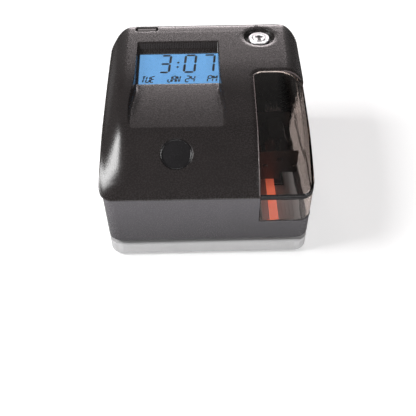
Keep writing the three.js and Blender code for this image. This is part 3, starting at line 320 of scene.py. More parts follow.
def rounded(x, y, front_radius, rear_radius, steps=14, rear_left_radius=None):
    last = rear_left_radius or rear_radius
    corners = ((x[0] + front_radius, y[0] + front_radius, front_radius, 180),
               (x[1] - front_radius, y[0] + front_radius, front_radius, 270),
               (x[1] - rear_radius, y[1] - rear_radius, rear_radius, 0),
               (x[0] + last, y[1] - last, last, 90))
    plan = []
    for centre_x, centre_y, radius, start in corners:
        for i in range(steps + 1):
            turn = math.radians(start + 90 * i / steps)
            plan.append((centre_x + radius * math.cos(turn), centre_y + radius * math.sin(turn)))
    return plan


def body_plan(inset, steps=24):
    return rounded((-HALF - BODY_LEFT + inset, HALF - inset), (inset, DEPTH - inset),
                   FRONT_RADIUS - inset, REAR_RADIUS - inset, steps)


def cover_plan(inset, steps=24):
    return rounded((-HALF - OVER_LEFT + inset, HALF + OVER_RIGHT - inset),
                   (inset - OVER_FRONT, DEPTH + OVER_REAR - inset),
                   FRONT_RADIUS + OVER_FRONT - inset, REAR_RADIUS + OVER_REAR - inset, steps,
                   COVER_REAR_LEFT_RADIUS - inset)


def around(middle, half):
    return middle - half, middle + half


def prism(name, plan, low, high):
    return stack(name, [[(x, y, z) for x, y in plan] for z in (low, high)])


def side_prism(name, outline, across):
    return stack(name, [[(x, y, z) for y, z in outline] for x in across])


def corners_of(x, y):
    return [(x[0], y[0]), (x[1], y[0]), (x[1], y[1]), (x[0], y[1])]


def box(name, x, y, z):
    return prism(name, corners_of(x, y), *z)


def circle(x, y, radius, steps=48):
    turns = [2 * math.pi * i / steps for i in range(steps)]
    return [(x + radius * math.cos(turn), y + radius * math.sin(turn)) for turn in turns]


def at(x, y, z=0.0):
    return lambda p: (x + p[0], y + p[1], z + p[2])


def along_y(x, z):
    return lambda p: (x + p[0], p[2], z - p[1])


def lathe(name, profile, place, steps=48, bore=False):
    """A turned form: radius and height of each ring, moved by place."""
    loops = [[place((x, y, height)) for x, y in circle(0, 0, radius, steps)] for radius, height in profile]
    return stack(name, loops, bore)


def pegs(name, places, radius, low, high, steps=32):
    return [prism(name, circle(x, y, radius, steps), low, high) for x, y in places]


def screw_holes(low, high):
    return pegs("hole", FASTENERS, HOLE_RADIUS, low, high, 24)


def settle(made):
    """Puts what the modifiers make into the mesh."""
    graph = bpy.context.evaluated_depsgraph_get()
    mesh = bpy.data.meshes.new_from_object(made.evaluated_get(graph))
    old = made.data
    made.modifiers.clear()
    made.data = mesh
    bpy.data.meshes.remove(old)
    return made


def combine(made, operation, *tools):
    for tool in tools:
        modifier = made.modifiers.new("solid", "BOOLEAN")
        modifier.operation, modifier.object, modifier.solver = operation, tool, "MANIFOLD"
        settle(made)
        bpy.data.objects.remove(tool)
    return made


def join(name, pieces):
    """Several meshes as one object."""
    work = bmesh.new()
    for piece in pieces:
        work.from_mesh(piece.data)
        bpy.data.objects.remove(piece)
    mesh = bpy.data.meshes.new(name)
    work.to_mesh(mesh)
    work.free()
    return put(name, mesh)


def smooth(made, angle):
    made.data.shade_smooth()
    made.data.set_sharp_from_angle(angle=math.radians(angle))
    weighted = made.modifiers.new("normals", "WEIGHTED_NORMAL")
    weighted.keep_sharp, weighted.weight = True, 80
    return settle(made)


def bevel(made, width, segments=2, angle=40, settled=True):
    modifier = made.modifiers.new("edge", "BEVEL")
    modifier.width, modifier.segments = width * MM, segments
    modifier.limit_method, modifier.angle_limit = "ANGLE", math.radians(angle)
    return settle(made) if settled else made


def dress(made, body, finish, replaces=(), angle=35):
    made.data.materials.clear()
    made.data.materials.append(M[finish])
    if angle:
        smooth(made, angle)
    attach(made, body)
    if replaces:
        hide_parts(*replaces)
    return made


# The cover's outer surface as a height over the plan
def softened(line, place, reach):
    """The mean of a line over a stretch round each place, which rounds its corners."""
    shares = np.linspace(-1, 1, 9)
    return sum(line(place + share * reach) for share in shares) / len(shares)


def run_on(share, places, rises):
    """A line through points that goes straight on past its ends."""
    first = (rises[1] - rises[0]) / (places[1] - places[0])
    last = (rises[-1] - rises[-2]) / (places[-1] - places[-2])
    return np.interp(share, places, rises) + first * np.minimum(share, 0) + last * np.maximum(share - 1, 0)


def lengthways(depth, line):
    reach = np.clip(END_SHARE * np.minimum(depth, DEPTH - depth), SHALLOW, DEEP)
    return PARTING + RISE * softened(lambda d: run_on(d / DEPTH, *line), depth, reach)


def crown(depth):
    return lengthways(depth, CROWN)


def crown_at(depth):
    return float(crown(np.array(depth)))


def surface(x, depth, reach, power=None):
    top, side = crown(depth), lengthways(depth, SHOULDER)
    crease = HALF * np.interp(depth / DEPTH, *CREASE)
    edge = HALF + OVER_LEFT
    if power is None:
        power = np.interp(depth / DEPTH, *BEND)

    def line(place):
        share = np.clip((np.abs(place) - crease) / (edge - crease), 0, 1)
        return top + share ** power * (side - top)
    return softened(line, x, reach)


def edge_falls(x, depth):
    """How far the cover falls towards the window's edge and the lock's well."""
    across, back = WINDOW_LEFT + WINDOW_RADIUS - x, depth - (WINDOW_REAR - WINDOW_RADIUS)
    outside = np.hypot(np.maximum(across, 0), np.maximum(back, 0))
    to_window = outside + np.minimum(np.maximum(across, back), 0) - WINDOW_RADIUS
    to_well = np.hypot(x - LOCK_X, depth - LOCK_Y) - WELL_RADIUS
    return (WINDOW_FALL * np.clip(1 - to_window / WINDOW_FALL_RUN, 0, 1)
            + WELL_FALL * np.clip(1 - to_well / WELL_FALL_RUN, 0, 1))


def grid_solid(name, lower, upper):
    """The solid between two sheets of as many rows and columns of points."""
    rows, cols = lower.shape[:2]
    base = rows * cols
    faces = []
    for i in range(rows - 1):
        for j in range(cols - 1):
            a, b = i * cols + j, (i + 1) * cols + j
            faces += [(a, b, b + 1, a + 1), (base + a, base + a + 1, base + b + 1, base + b)]
    rim = list(range(cols)) + [i * cols + cols - 1 for i in range(1, rows)]
    rim += [(rows - 1) * cols + j for j in range(cols - 2, -1, -1)]
    rim += [i * cols for i in range(rows - 2, 0, -1)]
    for k, a in enumerate(rim):
        b = rim[(k + 1) % len(rim)]
        faces.append((a, b, base + b, base + a))
    return new_object(name, np.concatenate([lower.reshape(-1, 3), upper.reshape(-1, 3)]), faces)


def field(name, inset, drop, bottom, reach, span, step, falls=False, power=None):
    """The space between the surface, drawn in and let down, and a flat bottom."""
    least = 0.1
    xs, ys = [np.linspace(low, high, int((high - low) / pitch) + 1) for (low, high), pitch in zip(span, step)]
    X, Y = np.meshgrid(xs, ys)
    Z = surface(np.abs(X) + inset, Y, reach, power) - drop
    if falls:
        Z = Z - edge_falls(X, Y)
    Z = np.maximum(Z, bottom + least)
    return grid_solid(name, np.stack([X, Y, np.full_like(Z, bottom)], -1), np.stack([X, Y, Z], -1))


# What is let into the cover
def on_display(u, v, w):
    """A point on the display's tilted plane: across, back and up."""
    c, s = math.cos(DISPLAY_TILT), math.sin(DISPLAY_TILT)
    return (DISPLAY_X + u, DISPLAY_FRONT + v * c - w * s, TOP - DISPLAY_SINK + v * s + w * c)


def display_block(name, u, v, w):
    return stack(name, [[on_display(a, b, height) for a, b in corners_of(u, v)] for height in w])


def lens_block(name, grow, w):
    """A block with the lens's outline, a little larger or smaller."""
    u = (LENS_ACROSS[0] - grow, LENS_ACROSS[1] + grow)
    return display_block(name, u, (LENS_BACK[0] - grow, LENS_BACK[1] + grow), w)


def display_recess(grow):
    """The display's space, with a rear wall that slopes back."""
    lift, rear = DISPLAY_SINK + PAST, DISPLAY_RUN + grow
    side = [(-grow, -grow), (rear, -grow), (rear + RECESS_RUN, RECESS_RISE - grow),
            (rear + RECESS_RUN * lift / RECESS_RISE, lift), (-grow, lift)]
    half = DISPLAY_WIDTH / 2 + grow
    return stack("recess", [[on_display(u, v, w) for v, w in side] for u in (-half, half)])


def eased(share):
    share = np.clip(share, 0, 1)
    return share * share * (3 - 2 * share)


def display_ramp(grow):
    """The ramp's space: a hollow floor between flared walls, with a rounded foot along each."""
    ahead, foot_least, foot_more, foot_run = 3, 0.8, 2.9, 14
    start = crown_at(RAMP_FRONT)
    run, rise = RAMP_BACK - RAMP_FRONT, TOP - DISPLAY_SINK - start
    across = (0, 0.04, 0.11, 0.23, 0.37, 0.57, 0.8, 1.0)
    lower, upper = [], []
    for y in np.linspace(RAMP_FRONT - ahead, RAMP_BACK, 64):
        t = (y - RAMP_FRONT) / run
        floor = start + rise * t * t - grow
        flare = eased((RAMP_BACK - y) / FLARE_RUN)
        left = DISPLAY_LEFT - FLARE_LEFT * flare - grow
        right = DISPLAY_LEFT + DISPLAY_WIDTH + FLARE_RIGHT * flare + grow
        radius = foot_least + foot_more * eased((RAMP_BACK - y) / foot_run)
        steps = [share * radius for share in across]
        xs = [left + e for e in steps] + list(np.linspace(left + radius, right - radius, 12)[1:-1])
        xs += [right - e for e in reversed(steps)]
        row = []
        for x in xs:
            inside = min(x - left, right - x, radius)
            row.append((x, y, floor + radius - math.sqrt(max(radius ** 2 - (radius - inside) ** 2, 0))))
        lower.append(row)
        upper.append([(x, y, ABOVE) for x, _, _ in row])
    return grid_solid("ramp", np.array(lower), np.array(upper))


def lock_well(grow):
    return prism("well", circle(LOCK_X, LOCK_Y, WELL_RADIUS + grow, 64), TOP - WELL_SINK - grow, ABOVE)


EMBLEM_HEIGHT = crown_at(EMBLEM_Y)
EMBLEM_SLOPE = math.atan2(crown_at(EMBLEM_Y + EMBLEM_RADIUS) - crown_at(EMBLEM_Y - EMBLEM_RADIUS),
                          2 * EMBLEM_RADIUS)


def on_emblem(p):
    c, s = math.cos(EMBLEM_SLOPE), math.sin(EMBLEM_SLOPE)
    x, y, z = p
    return (EMBLEM_X + x, EMBLEM_Y + y * c - z * s, EMBLEM_HEIGHT + y * s + z * c)


def emblem_recess(grow):
    radius = EMBLEM_RADIUS + grow
    return lathe("emblem_cut", [(radius, -EMBLEM_SINK - grow), (radius, PAST)], on_emblem, 64)


def hook_slot():
    side, front, rear, radius = 1.4, 2.2, 1.1, 1.6
    x, y = (HOOK_LEFT - side, HOOK_RIGHT + side), (HOOK_FRONT - front, HOOK_REAR + rear)
    return prism("slot", rounded(x, y, radius, radius, 6), PARTING, ABOVE)


def window_region(clearance, low, high):
    """The corner that the window fills, and well past it outside."""
    past = 20.0
    plan = rounded((WINDOW_LEFT + clearance, HALF + past), (-past, WINDOW_REAR - clearance),
                   WINDOW_RADIUS, WINDOW_RADIUS)
    return prism("region", plan, low, high)


def make_cover():
    outer = field("cover_shell", 0, 0, PARTING - 2 * PAST, SOFT, COVER_SPAN, FINE_STEP, falls=True)
    combine(outer, "INTERSECT", prism("plan", cover_plan(0, 20), PARTING - PAST, ABOVE))
    hollow = field("hollow", WALL, ROOF, PARTING - 3 * PAST, SOFT, COVER_SPAN, COARSE_STEP)
    combine(hollow, "INTERSECT", prism("plan", cover_plan(WALL, 20), PARTING - 2 * PAST, ABOVE))
    combine(hollow, "DIFFERENCE", display_recess(2.0), display_ramp(2.0), lock_well(WALL),
            emblem_recess(WALL))
    combine(outer, "DIFFERENCE", hollow, display_recess(0), display_ramp(0), lock_well(0), emblem_recess(0),
            lens_block("opening", 0.1, (-DISPLAY_SINK, PAST)),
            prism("lock_hole", circle(LOCK_X, LOCK_Y, LOCK_HOLE), PARTING, ABOVE), hook_slot(),
            window_region(0, PARTING - 2 * PAST, ABOVE))
    remesh = outer.modifiers.new("skin", "REMESH")
    remesh.mode, remesh.voxel_size = "VOXEL", VOXEL * MM
    ease = outer.modifiers.new("ease", "SMOOTH")
    ease.factor, ease.iterations = EASING, EASES
    thin = outer.modifiers.new("thin", "DECIMATE")
    thin.ratio = FACES_KEPT
    settle(outer)
    combine(outer, "INTERSECT", box("rim", (-100, 100), (-20, 200), (PARTING, ABOVE)))
    dress(outer, "cover", "cover", ["top_cover"], angle=60)


def make_recess_ribs():
    """Fine ribs down the sloping rear wall of the display's recess."""
    count, span, half, sunk, proud = 44, 64.4, 0.4, 0.5, 0.45
    slope = math.hypot(RECESS_RUN, RECESS_RISE)
    low, high = [(DISPLAY_RUN + RECESS_RUN * share, RECESS_RISE * share) for share in (0.42, 0.86)]
    section = [(v - RECESS_RISE / slope * h, w + RECESS_RUN / slope * h)
               for (v, w), h in ((low, -sunk), (high, -sunk), (high, proud), (low, proud))]
    ribs = []
    for k in range(count):
        u = span * (k / (count - 1) - 0.5)
        ribs.append(stack("rib", [[on_display(a, v, w) for v, w in section] for a in around(u, half)]))
    dress(join("recess_ribs", ribs), "cover", "rib", angle=None)


def make_lock_marks():
    """Two small dots by the lock, one for each position of the key."""
    profile, proud = [(1.5, -0.7), (1.5, 0.06), (1.2, 0.12), (0.4, -0.25)], 0.02
    marks = [lathe("mark", profile, at(x, y, crown_at(y) + proud), 24)
             for x, y in ((28.2, 158.5), (46.0, 173.6))]
    dress(join("lock_marks", marks), "cover", "gloss")


def corner_strip(name, section, since=-1.0, until=WINDOW_REAR - WINDOW_GAP):
    """A section swept round the window's front corner, along the head's outline."""
    pitch = 3.0
    x_centre, y_centre = HALF - FRONT_RADIUS, FRONT_RADIUS
    path = [(WINDOW_LEFT + WINDOW_GAP, 0.0)]
    path += [(x, y) for x, y in body_plan(0) if x > 0 and y < WINDOW_REAR]
    path += [(HALF, y) for y in np.arange(SIDE_START, WINDOW_REAR - 1, pitch)]
    loops = []
    for x, y in [(x, y) for x, y in path if since < y < until] + [(HALF, until)]:
        if x <= x_centre:
            out = (0, -1)
        elif y >= y_centre:
            out = (1, 0)
        else:
            length = math.hypot(x - x_centre, y - y_centre)
            out = ((x - x_centre) / length, (y - y_centre) / length)
        loops.append([(x - out[0] * inward, y - out[1] * inward, z) for inward, z in section])
    return stack(name, loops)


def make_upper_window():
    span, wider = ((34, 84), (-4, 110)), ((32, 86), (-6, 112))
    upper = field("window_upper", 0, 0, PARTING - PAST, ROUND, span, WINDOW_STEP, power=WINDOW_BEND)
    combine(upper, "INTERSECT", prism("plan", body_plan(0, 20), PARTING + GAP, ABOVE))
    hollow = field("hollow", WINDOW_WALL, WINDOW_WALL, PARTING - 2 * PAST, ROUND, wider, WINDOW_STEP,
                   power=WINDOW_BEND)
    combine(hollow, "INTERSECT", prism("plan", body_plan(WINDOW_WALL, 20), PARTING - PAST, ABOVE))
    combine(upper, "DIFFERENCE", hollow)
    combine(upper, "INTERSECT", window_region(WINDOW_GAP, PARTING - PAST, ABOVE))
    dress(upper, "cover", "smoke", ["upper_window"], angle=None)


def make_lower_window():
    low, top, edge = WINDOW_BOTTOM + GAP, PARTING - 2.0, 0.35
    inner = WINDOW_WALL - edge
    lower = corner_strip("window_lower", [
        (0, low + edge), (0, top - edge), (edge, top), (inner, top), (WINDOW_WALL, top - edge),
        (WINDOW_WALL, low + edge), (inner, low), (edge, low)])
    dress(lower, "base", "smoke", ["lower_window"], angle=32)


def make_window_strips():
    """The sill under the lower window, and the seal, rim and clear joint between the two halves."""
    edge = WINDOW_BOTTOM
    sill = corner_strip("window_sill", [
        (0.6, edge - 1.5), (0, edge - 1.5), (-0.3, edge - 1.2), (-0.4, edge - 0.8), (-0.3, edge - 0.4),
        (0, edge - 0.1), (0.6, edge - 0.1)])
    dress(sill, "base", "housing", angle=60)
    low, top, corner_end = PARTING - 1.9, PARTING - GAP, SIDE_START - 0.1
    seal = corner_strip("window_seal", [(0.0, low + 0.1), (-0.15, low + 0.3), (-0.15, top - 0.2), (0.0, top),
                                        (WINDOW_WALL, top), (WINDOW_WALL, low)], until=corner_end)
    dress(seal, "base", "gloss", angle=60)
    joint = corner_strip("window_joint", [(0.0, low), (0.0, top), (WINDOW_WALL, top), (WINDOW_WALL, low)],
                         since=SIDE_START - 1.0)
    dress(joint, "base", "smoke", angle=60)
    low = PARTING + GAP
    rim = corner_strip("window_rim", [(0.9, low), (-0.2, low), (-0.2, low + 1.0), (0.0, low + 1.3),
                                      (0.9, low + 2.1)], until=corner_end)
    dress(rim, "cover", "gloss", angle=60)


def make_window_trim():
    """A pale bead along the window's left and rear edge, on the cover's surface."""
    section = ((-0.1, -0.7), (0.75, -0.7), (0.75, 0.1), (0.55, 0.32), (0.2, 0.38), (-0.1, 0.2))
    turn = WINDOW_RADIUS
    way = [(WINDOW_LEFT, y) for y in np.arange(1.0, WINDOW_REAR - turn, 2.0)]
    way += [(WINDOW_LEFT + turn * (1 - math.cos(a)), WINDOW_REAR - turn * (1 - math.sin(a)))
            for a in np.linspace(0, math.pi / 2, 13)]
    way += [(x, WINDOW_REAR) for x in np.arange(WINDOW_LEFT + turn + 1, HALF - 0.5, 1.0)]
    trim = []
    for k, (x, y) in enumerate(way):
        before, after = way[max(k - 1, 0)], way[min(k + 1, len(way) - 1)]
        length = math.hypot(after[0] - before[0], after[1] - before[1])
        out = (-(after[1] - before[1]) / length, (after[0] - before[0]) / length)
        height = float(surface(np.array(x), np.array(y), SOFT)) - WINDOW_FALL
        trim.append([(x + out[0] * a, y + out[1] * a, height + b) for a, b in section])
    dress(stack("window_trim", trim), "cover", "rim", angle=50)


# The housing and the base
def make_housing():
    top, into, boss_height = PARTING - GAP, HEAD + 0.3, 7.5
    lip_gap, lip_wall, lip_half, under_roof = 0.4, 1.4, 3.4, 0.5
    shell = prism("housing_shell", body_plan(0), HEAD, top)
    combine(shell, "DIFFERENCE", prism("inside", body_plan(WALL), FLOOR, top + PAST))
    lip = prism("lip", cover_plan(WALL + lip_gap), *around(PARTING, lip_half))
    combine(lip, "DIFFERENCE", prism("inside", cover_plan(WALL + lip_gap + lip_wall), HEAD, TOP))
    combine(lip, "INTERSECT", field("under", WALL, ROOF + under_roof, HEAD, SOFT, COVER_SPAN, COARSE_STEP))
    parts = [lip] + pegs("boss", FASTENERS, BOSS_RADIUS, into, FLOOR + boss_height)
    parts += pegs("post", BOARD_POSTS, POST_RADIUS, into, BOARD_TOP - BOARD_THICKNESS - GAP)
    foot, tip, tip_height = around(TRIGGER_Y, 3.85), around(TRIGGER_Y, 2.6), 30.6
    ear = [(foot[0], into), (foot[1], into), (tip[1], tip_height), (tip[0], tip_height)]
    left, right = TRIGGER_ACROSS
    parts += [side_prism("ear", ear, across)
              for across in ((left - EAR_THICKNESS, left), (right, right + EAR_THICKNESS))]
    combine(shell, "UNION", *parts)
    through = (HEAD - PAST, FLOOR + PAST)
    cuts = [window_region(0, WINDOW_BOTTOM, TOP), box("bay", BAY_ACROSS, BAY_BACK, through),
            box("trigger_slot", TRIGGER_ACROSS, TRIGGER_BACK, through),
            lathe("jack_hole", [(5.1, 173), (5.1, 180)], along_y(JACK_X, JACK_Z), 40)]
    combine(shell, "DIFFERENCE", *cuts, *screw_holes(HEAD - PAST, FLOOR + 5))
    bevel(shell, 0.35, 2, 50)
    dress(shell, "base", "housing", ["lower_housing"], angle=50)


def make_tray():
    roof, into, over = TABLE - WALL, 1.2, TABLE + PAST
    ribs = (4.8, TABLE - into)
    tray = prism("base_shell", body_plan(0), FOOT, TABLE)
    combine(tray, "DIFFERENCE", prism("inside", body_plan(WALL), FOOT - PAST, roof))
    parts = pegs("boss", FASTENERS, BOSS_RADIUS, *ribs)
    parts += [box("rib", around(x, 1), (into, DEPTH - into), ribs) for x in (-20, 0, 20)]
    parts += [box("rib", (-HALF - BODY_LEFT + 1.4, HALF - into), around(y, 1), ribs) for y in (34, 110)]
    parts.append(box("pad", (51.5, 70.5), (64.5, 105), (roof - into, TABLE - into)))
    combine(tray, "UNION", *parts)
    cuts = screw_holes(FOOT - PAST, over)
    entry, seat_depth = 3.6, 1.8
    cuts.append(side_prism("entry", [(-PAST, TABLE - entry), (entry, over), (-PAST, over)], (-WIDTH, WIDTH)))
    cuts.append(box("platen_seat", PLATEN_ACROSS, PLATEN_BACK, (TABLE - seat_depth, over)))
    count, first, pitch, width, depth = 5, 58, 3.2, 0.9, 0.5
    for x in [first + pitch * k for k in range(count)]:
        cuts.append(box("groove", (x, x + width), (16, 64), (TABLE - depth, over)))
    cuts.append(box("stop_slot", STOP_ACROSS, STOP_BACK, (FOOT, over)))
    combine(tray, "DIFFERENCE", *cuts)
    bevel(tray, 0.6, 3, 50)
    dress(tray, "base", "base", ["base_tray"], angle=50)


def make_column():
    inset, front = 1.5, 104
    x, y = (-HALF - BODY_LEFT + inset, HALF - inset), (front, DEPTH - inset)
    column = prism("column", rounded(x, y, inset, REAR_RADIUS - inset, 16), TABLE + GAP, HEAD - GAP)
    combine(column, "DIFFERENCE", *screw_holes(FOOT, HEAD + PAST))
    dress(bevel(column, 0.3), "base", "base", ["rear_column"], angle=50)


def make_plate():
    """The plate under the base, with holes for feet and screws and two keyholes."""
    inset, bottom, top, foot_hole = 2.9, FOOT + GAP, 4.5, 2.8
    low, high = 1, 7
    slot, slot_front, slot_rear, eye = 2.3, 60, 71, 4.6
    plate = prism("under_plate", body_plan(inset, 16), bottom, top)
    holes = pegs("hole", FEET, foot_hole, low, high, 24) + screw_holes(low, high)
    for x in (-36, 36):
        end = [(x + slot * math.cos(a), slot_rear + slot * math.sin(a)) for a in np.linspace(0, math.pi, 13)]
        neck = prism("slot", [(x - slot, slot_front), (x + slot, slot_front)] + end, low - 0.5, high + 0.5)
        holes.append(combine(prism("keyhole", circle(x, slot_front, eye, 32), low, high), "UNION", neck))
    combine(plate, "DIFFERENCE", *holes)
    dress(bevel(plate, 0.12), "base", "steel", ["bottom_plate"], angle=50)


def make_feet():
    profile = [(0.1, 0.5), (2.6, 0.5), (3.1, 0), (4.4, 0), (4.8, 0.4), (5.4, 0.4), (5.8, 0), (7.1, 0),
               (7.7, 0.3), (8, 1.0), (8, 2.85), (7.85, 3), (2.5, 3), (2.5, 6.0), (2.4, 6.1)]
    for k, (x, y) in enumerate(FEET, 1):
        dress(lathe(f"rubber_foot_{k}", profile, at(x, y)), "base", "rubber", [f"foot_{k}"])


def make_screws():
    profile = [(2.5, 1.1), (2.95, 1.2), (3.4, 2.0), (3.4, 3.0), (1.8, 3.0), (1.8, 24.4), (1.2, 25)]
    arm, half = 1.9, 0.38
    for k, (x, y) in enumerate(FASTENERS, 1):
        screw = lathe(f"fastener_{k}", profile, at(x, y), 40)
        combine(screw, "DIFFERENCE", box("arm", around(x, arm), around(y, half), (0.5, 2.1)),
                box("arm", around(x, half), around(y, arm), (0.4, 2.1)))
        dress(screw, "base", "steel", [f"base_screw_{k}"], angle=30)


# The display: a lit panel on its frame, segments on the panel, and a thin lens above
def stroke(u1, v1, u2, v2, width, slant):
    """One segment of a character, with pointed ends, on the display's plane."""
    length = math.hypot(u2 - u1, v2 - v1)
    along = ((u2 - u1) / length, (v2 - v1) / length)
    side = (-along[1], along[0])
    tip = width / 2
    shape = []
    for a, b in ((0, 0), (tip, -tip), (length - tip, -tip), (length, 0), (length - tip, tip), (tip, tip)):
        u, v = u1 + along[0] * a + side[0] * b, v1 + along[1] * a + side[1] * b
        shape.append((u + slant * v, v))
    return stack("stroke", [[on_display(u, v, w) for u, v in shape] for w in (INK_LOW, INK_HIGH)])


SEGMENTS = {
    "3": "abcdg", "0": "abcdef", "7": "abc", "2": "abged", "4": "fgbc", "T": "aim", "U": "bcdef",
    "E": "adefg", "J": "bcde", "A": "abcefg", "N": "efbcxy", "P": "abefg", "M": "efbcxz",
}


def character(letter, u, v, width, height, line, slant, gap):
    left, middle, right = u, u + width / 2, u + width
    low, half, top = v, v + height / 2, v + height
    places = {
        "a": (left, top, right, top), "b": (right, half, right, top), "c": (right, low, right, half),
        "d": (left, low, right, low), "e": (left, low, left, half), "f": (left, half, left, top),
        "g": (left, half, right, half), "i": (middle, half, middle, top), "m": (middle, low, middle, half),
        "x": (left, top, middle, half), "y": (middle, half, right, low), "z": (middle, half, right, top),
    }
    made = []
    for key in SEGMENTS[letter]:
        u1, v1, u2, v2 = places[key]
        length = math.hypot(u2 - u1, v2 - v1)
        du, dv = (u2 - u1) / length * gap, (v2 - v1) / length * gap
        made.append(stroke(u1 + du, v1 + dv, u2 - du, v2 - dv, line, slant))
    return made


def make_digits():
    """The time in large characters, over day, date and half of the day in small ones."""
    lean, dot, dot_line = 0.095, 1.3, 2.5
    marks = []
    for letter, u, width in (("3", -17.2, 7.9), ("0", 3.5, 8.8), ("7", 19.6, 8.7)):
        marks += character(letter, u, 14.6, width, height=20.5, line=2.0, slant=lean, gap=0.4)
    for u, v in ((-2.4, 20.9), (-2.4, 26.3)):
        marks.append(stroke(u - dot, v, u + dot, v, dot_line, lean))
    for text, start, pitch, width in (("TUE", -31.6, 3.85, 2.7), ("JAN", -9.3, 3.55, 2.6),
                                      ("24", 5.4, 4.15, 3.1), ("PM", 23.9, 4.25, 3.2)):
        for k, letter in enumerate(text):
            u = start + k * pitch
            marks += character(letter, u, 3.0, width, height=6.9, line=1.15, slant=2 * lean, gap=0.1)
    dress(join("display_digits", marks), "base", "segment", angle=None)


def make_display():
    holder = display_block("display_frame", (-38.4, 38.4), (-3.6, 41.0), (-9.3, -3.85))
    dress(bevel(holder, 0.4), "base", "dark", angle=None)
    panel = lens_block("display_panel", -0.1, (-4.2, INK_LOW))
    dress(bevel(panel, 0.12), "base", "panel", ["lcd_module"], angle=None)
    make_digits()
    lens = lens_block("display_lens", 0, (-0.55, -0.15))
    dress(bevel(lens, 0.1), "cover", "clear", ["lcd_lens"], angle=None)


# The lock, the disc and the hook
def key_shape(less, keyway_z, ward_z):
    """The keyway and the ward across it, drawn in by less."""
    return [box("keyway", around(LOCK_X, 1.5 - less), (LOCK_Y - 4.7 + less, LOCK_Y + 3.6 - less), keyway_z),
            box("ward", around(LOCK_X, 3.2 - less), (LOCK_Y - 0.2 + less, LOCK_Y + 2.8 - less), ward_z)]


def make_lock():
    face, place = LOCK_FACE, at(LOCK_X, LOCK_Y)
    body = lathe("lock_body", [
        (5.75, 83.6), (8, 83.6), (8, 103.9), (9.05, 103.9), (9.25, 104.1), (9.25, 104.9), (9.05, 105.3),
        (8.6, face), (7.0, face), (6.7, face - 0.15), (6.3, face - 0.15), (6.1, face), (5.85, face - 0.1)],
        place, 64, bore=True)
    dress(body, "cover", "chrome", ["lock_cylinder"], angle=30)
    core = lathe("lock_core", [
        (5.5, 81.6), (5.5, face), (5.3, face + 0.25), (5.0, face + 0.3), (4.4, face + 0.3),
        (4.2, face + 0.15), (0.1, face + 0.15)], place, 64)
    combine(core, "DIFFERENCE", *key_shape(0, (101.9, TOP), (102.4, TOP + 0.5)))
    dress(core, "lock", "chrome", ["lock_plug"], angle=30)
    pins = join("keyway_pins", key_shape(0.1, (102.2, 105.1), (102.6, 105.0)))
    dress(bevel(pins, 0.1), "lock", "dark", angle=None)


def make_emblem():
    """A plain disc with a raised rim and a shallow dome."""
    disc = lathe("emblem", [
        (12.0, -1.1), (12.0, -0.35), (11.85, -0.12), (11.55, -0.02), (11.2, -0.1), (11.0, -0.35),
        (10.8, -0.75), (10.4, -0.85), (7.8, -0.66), (5.2, -0.5), (2.6, -0.4), (0.1, -0.37)], on_emblem, 72)
    dress(disc, "cover", "gloss", ["emblem_disc"], angle=40)


def make_hook():
    outline = corners_of((HOOK_FRONT, HOOK_REAR), (FLOOR + GAP, HOOK_TOP))
    tab = side_prism("rear_tab", outline, (HOOK_LEFT, HOOK_RIGHT))
    dress(bevel(tab, 0.7, 3), "base", "hook", ["rear_hook"], angle=40)


# The print unit
def make_rods():
    for name, x in zip(("left", "right"), RODS):
        rod = lathe(f"rod_{name}", [(1.7, 55.2), (2, 55.5), (2, 108.0), (1.7, 108.3)], along_y(x, ROD_Z), 40)
        dress(rod, "base", "black", [f"guide_rod_{name}"])


def make_drive_screw():
    """A rod with a thread of four starts, whose lead is what the carriage travels in a turn."""
    first, last, end_radius, radius, deep, starts, steps = 55.2, 114.1, 2.2, 2.5, 0.4, 4, 36
    thread_first, thread_last, pitch = 58.2, 102.8, 0.4
    lead = 2 * math.pi / SCREW_RADIANS_PER_METRE / MM
    places = [first, first + 0.3, thread_first - 0.2]
    places += list(np.arange(thread_first + 0.2, thread_last - 0.2, pitch))
    places += [thread_last + 0.2, 106.0, last - 0.3, last]
    loops = []
    for y in places:
        loop = []
        for k in range(steps):
            turn = 2 * math.pi * k / steps
            wave = math.cos(starts * (turn - 2 * math.pi * y / lead))
            cut = deep * max(0.0, min(1.0, 0.5 + wave)) if thread_first < y < thread_last else 0.0
            reach = (end_radius if y in (first, last) else radius) - cut
            loop.append((SCREW_X + reach * math.cos(turn), y, SCREW_Z + reach * math.sin(turn)))
        loops.append(loop)
    dress(stack("lead_screw", loops), "screw", "black", ["drive_screw"], angle=50)


def make_motor():
    place = along_y(MOTOR_X, MOTOR_Z)
    motor = lathe("motor", [(9.4, 116.3), (10, 116.7), (10, 121.0), (9.8, 121.3), (9.8, 135.6), (10, 135.9),
                            (10, 139.8), (9.5, 140.3), (4.6, 140.3), (4.2, 141.2), (2.2, 141.2), (2, 143.0),
                            (1.4, 143.3)], place, 64)
    combine(motor, "UNION", lathe("shaft", [(1.0, 109.3), (1.2, 109.5), (1.2, 117.5)], place, 24))
    dress(motor, "base", "steel", ["drive_motor"], angle=35)


def bush(name, inner, outer, y, length, place):
    profile = [(inner, y), (outer, y), (outer, y + length), (inner, y + length)]
    return lathe(name, profile, place, 40, bore=True)


def make_bushes():
    """The carriage's bushes on both rods, and its nut on the screw."""
    rings = [bush("bush", 2.25, 3.7, y, 0.6, along_y(x, ROD_Z)) for x in RODS for y in (79.4, 104.0)]
    rings.append(bush("nut", 2.75, 4.6, 78.6, 1.4, along_y(SCREW_X, SCREW_Z)))
    dress(join("carriage_bushes", rings), "carriage", "black", angle=40)


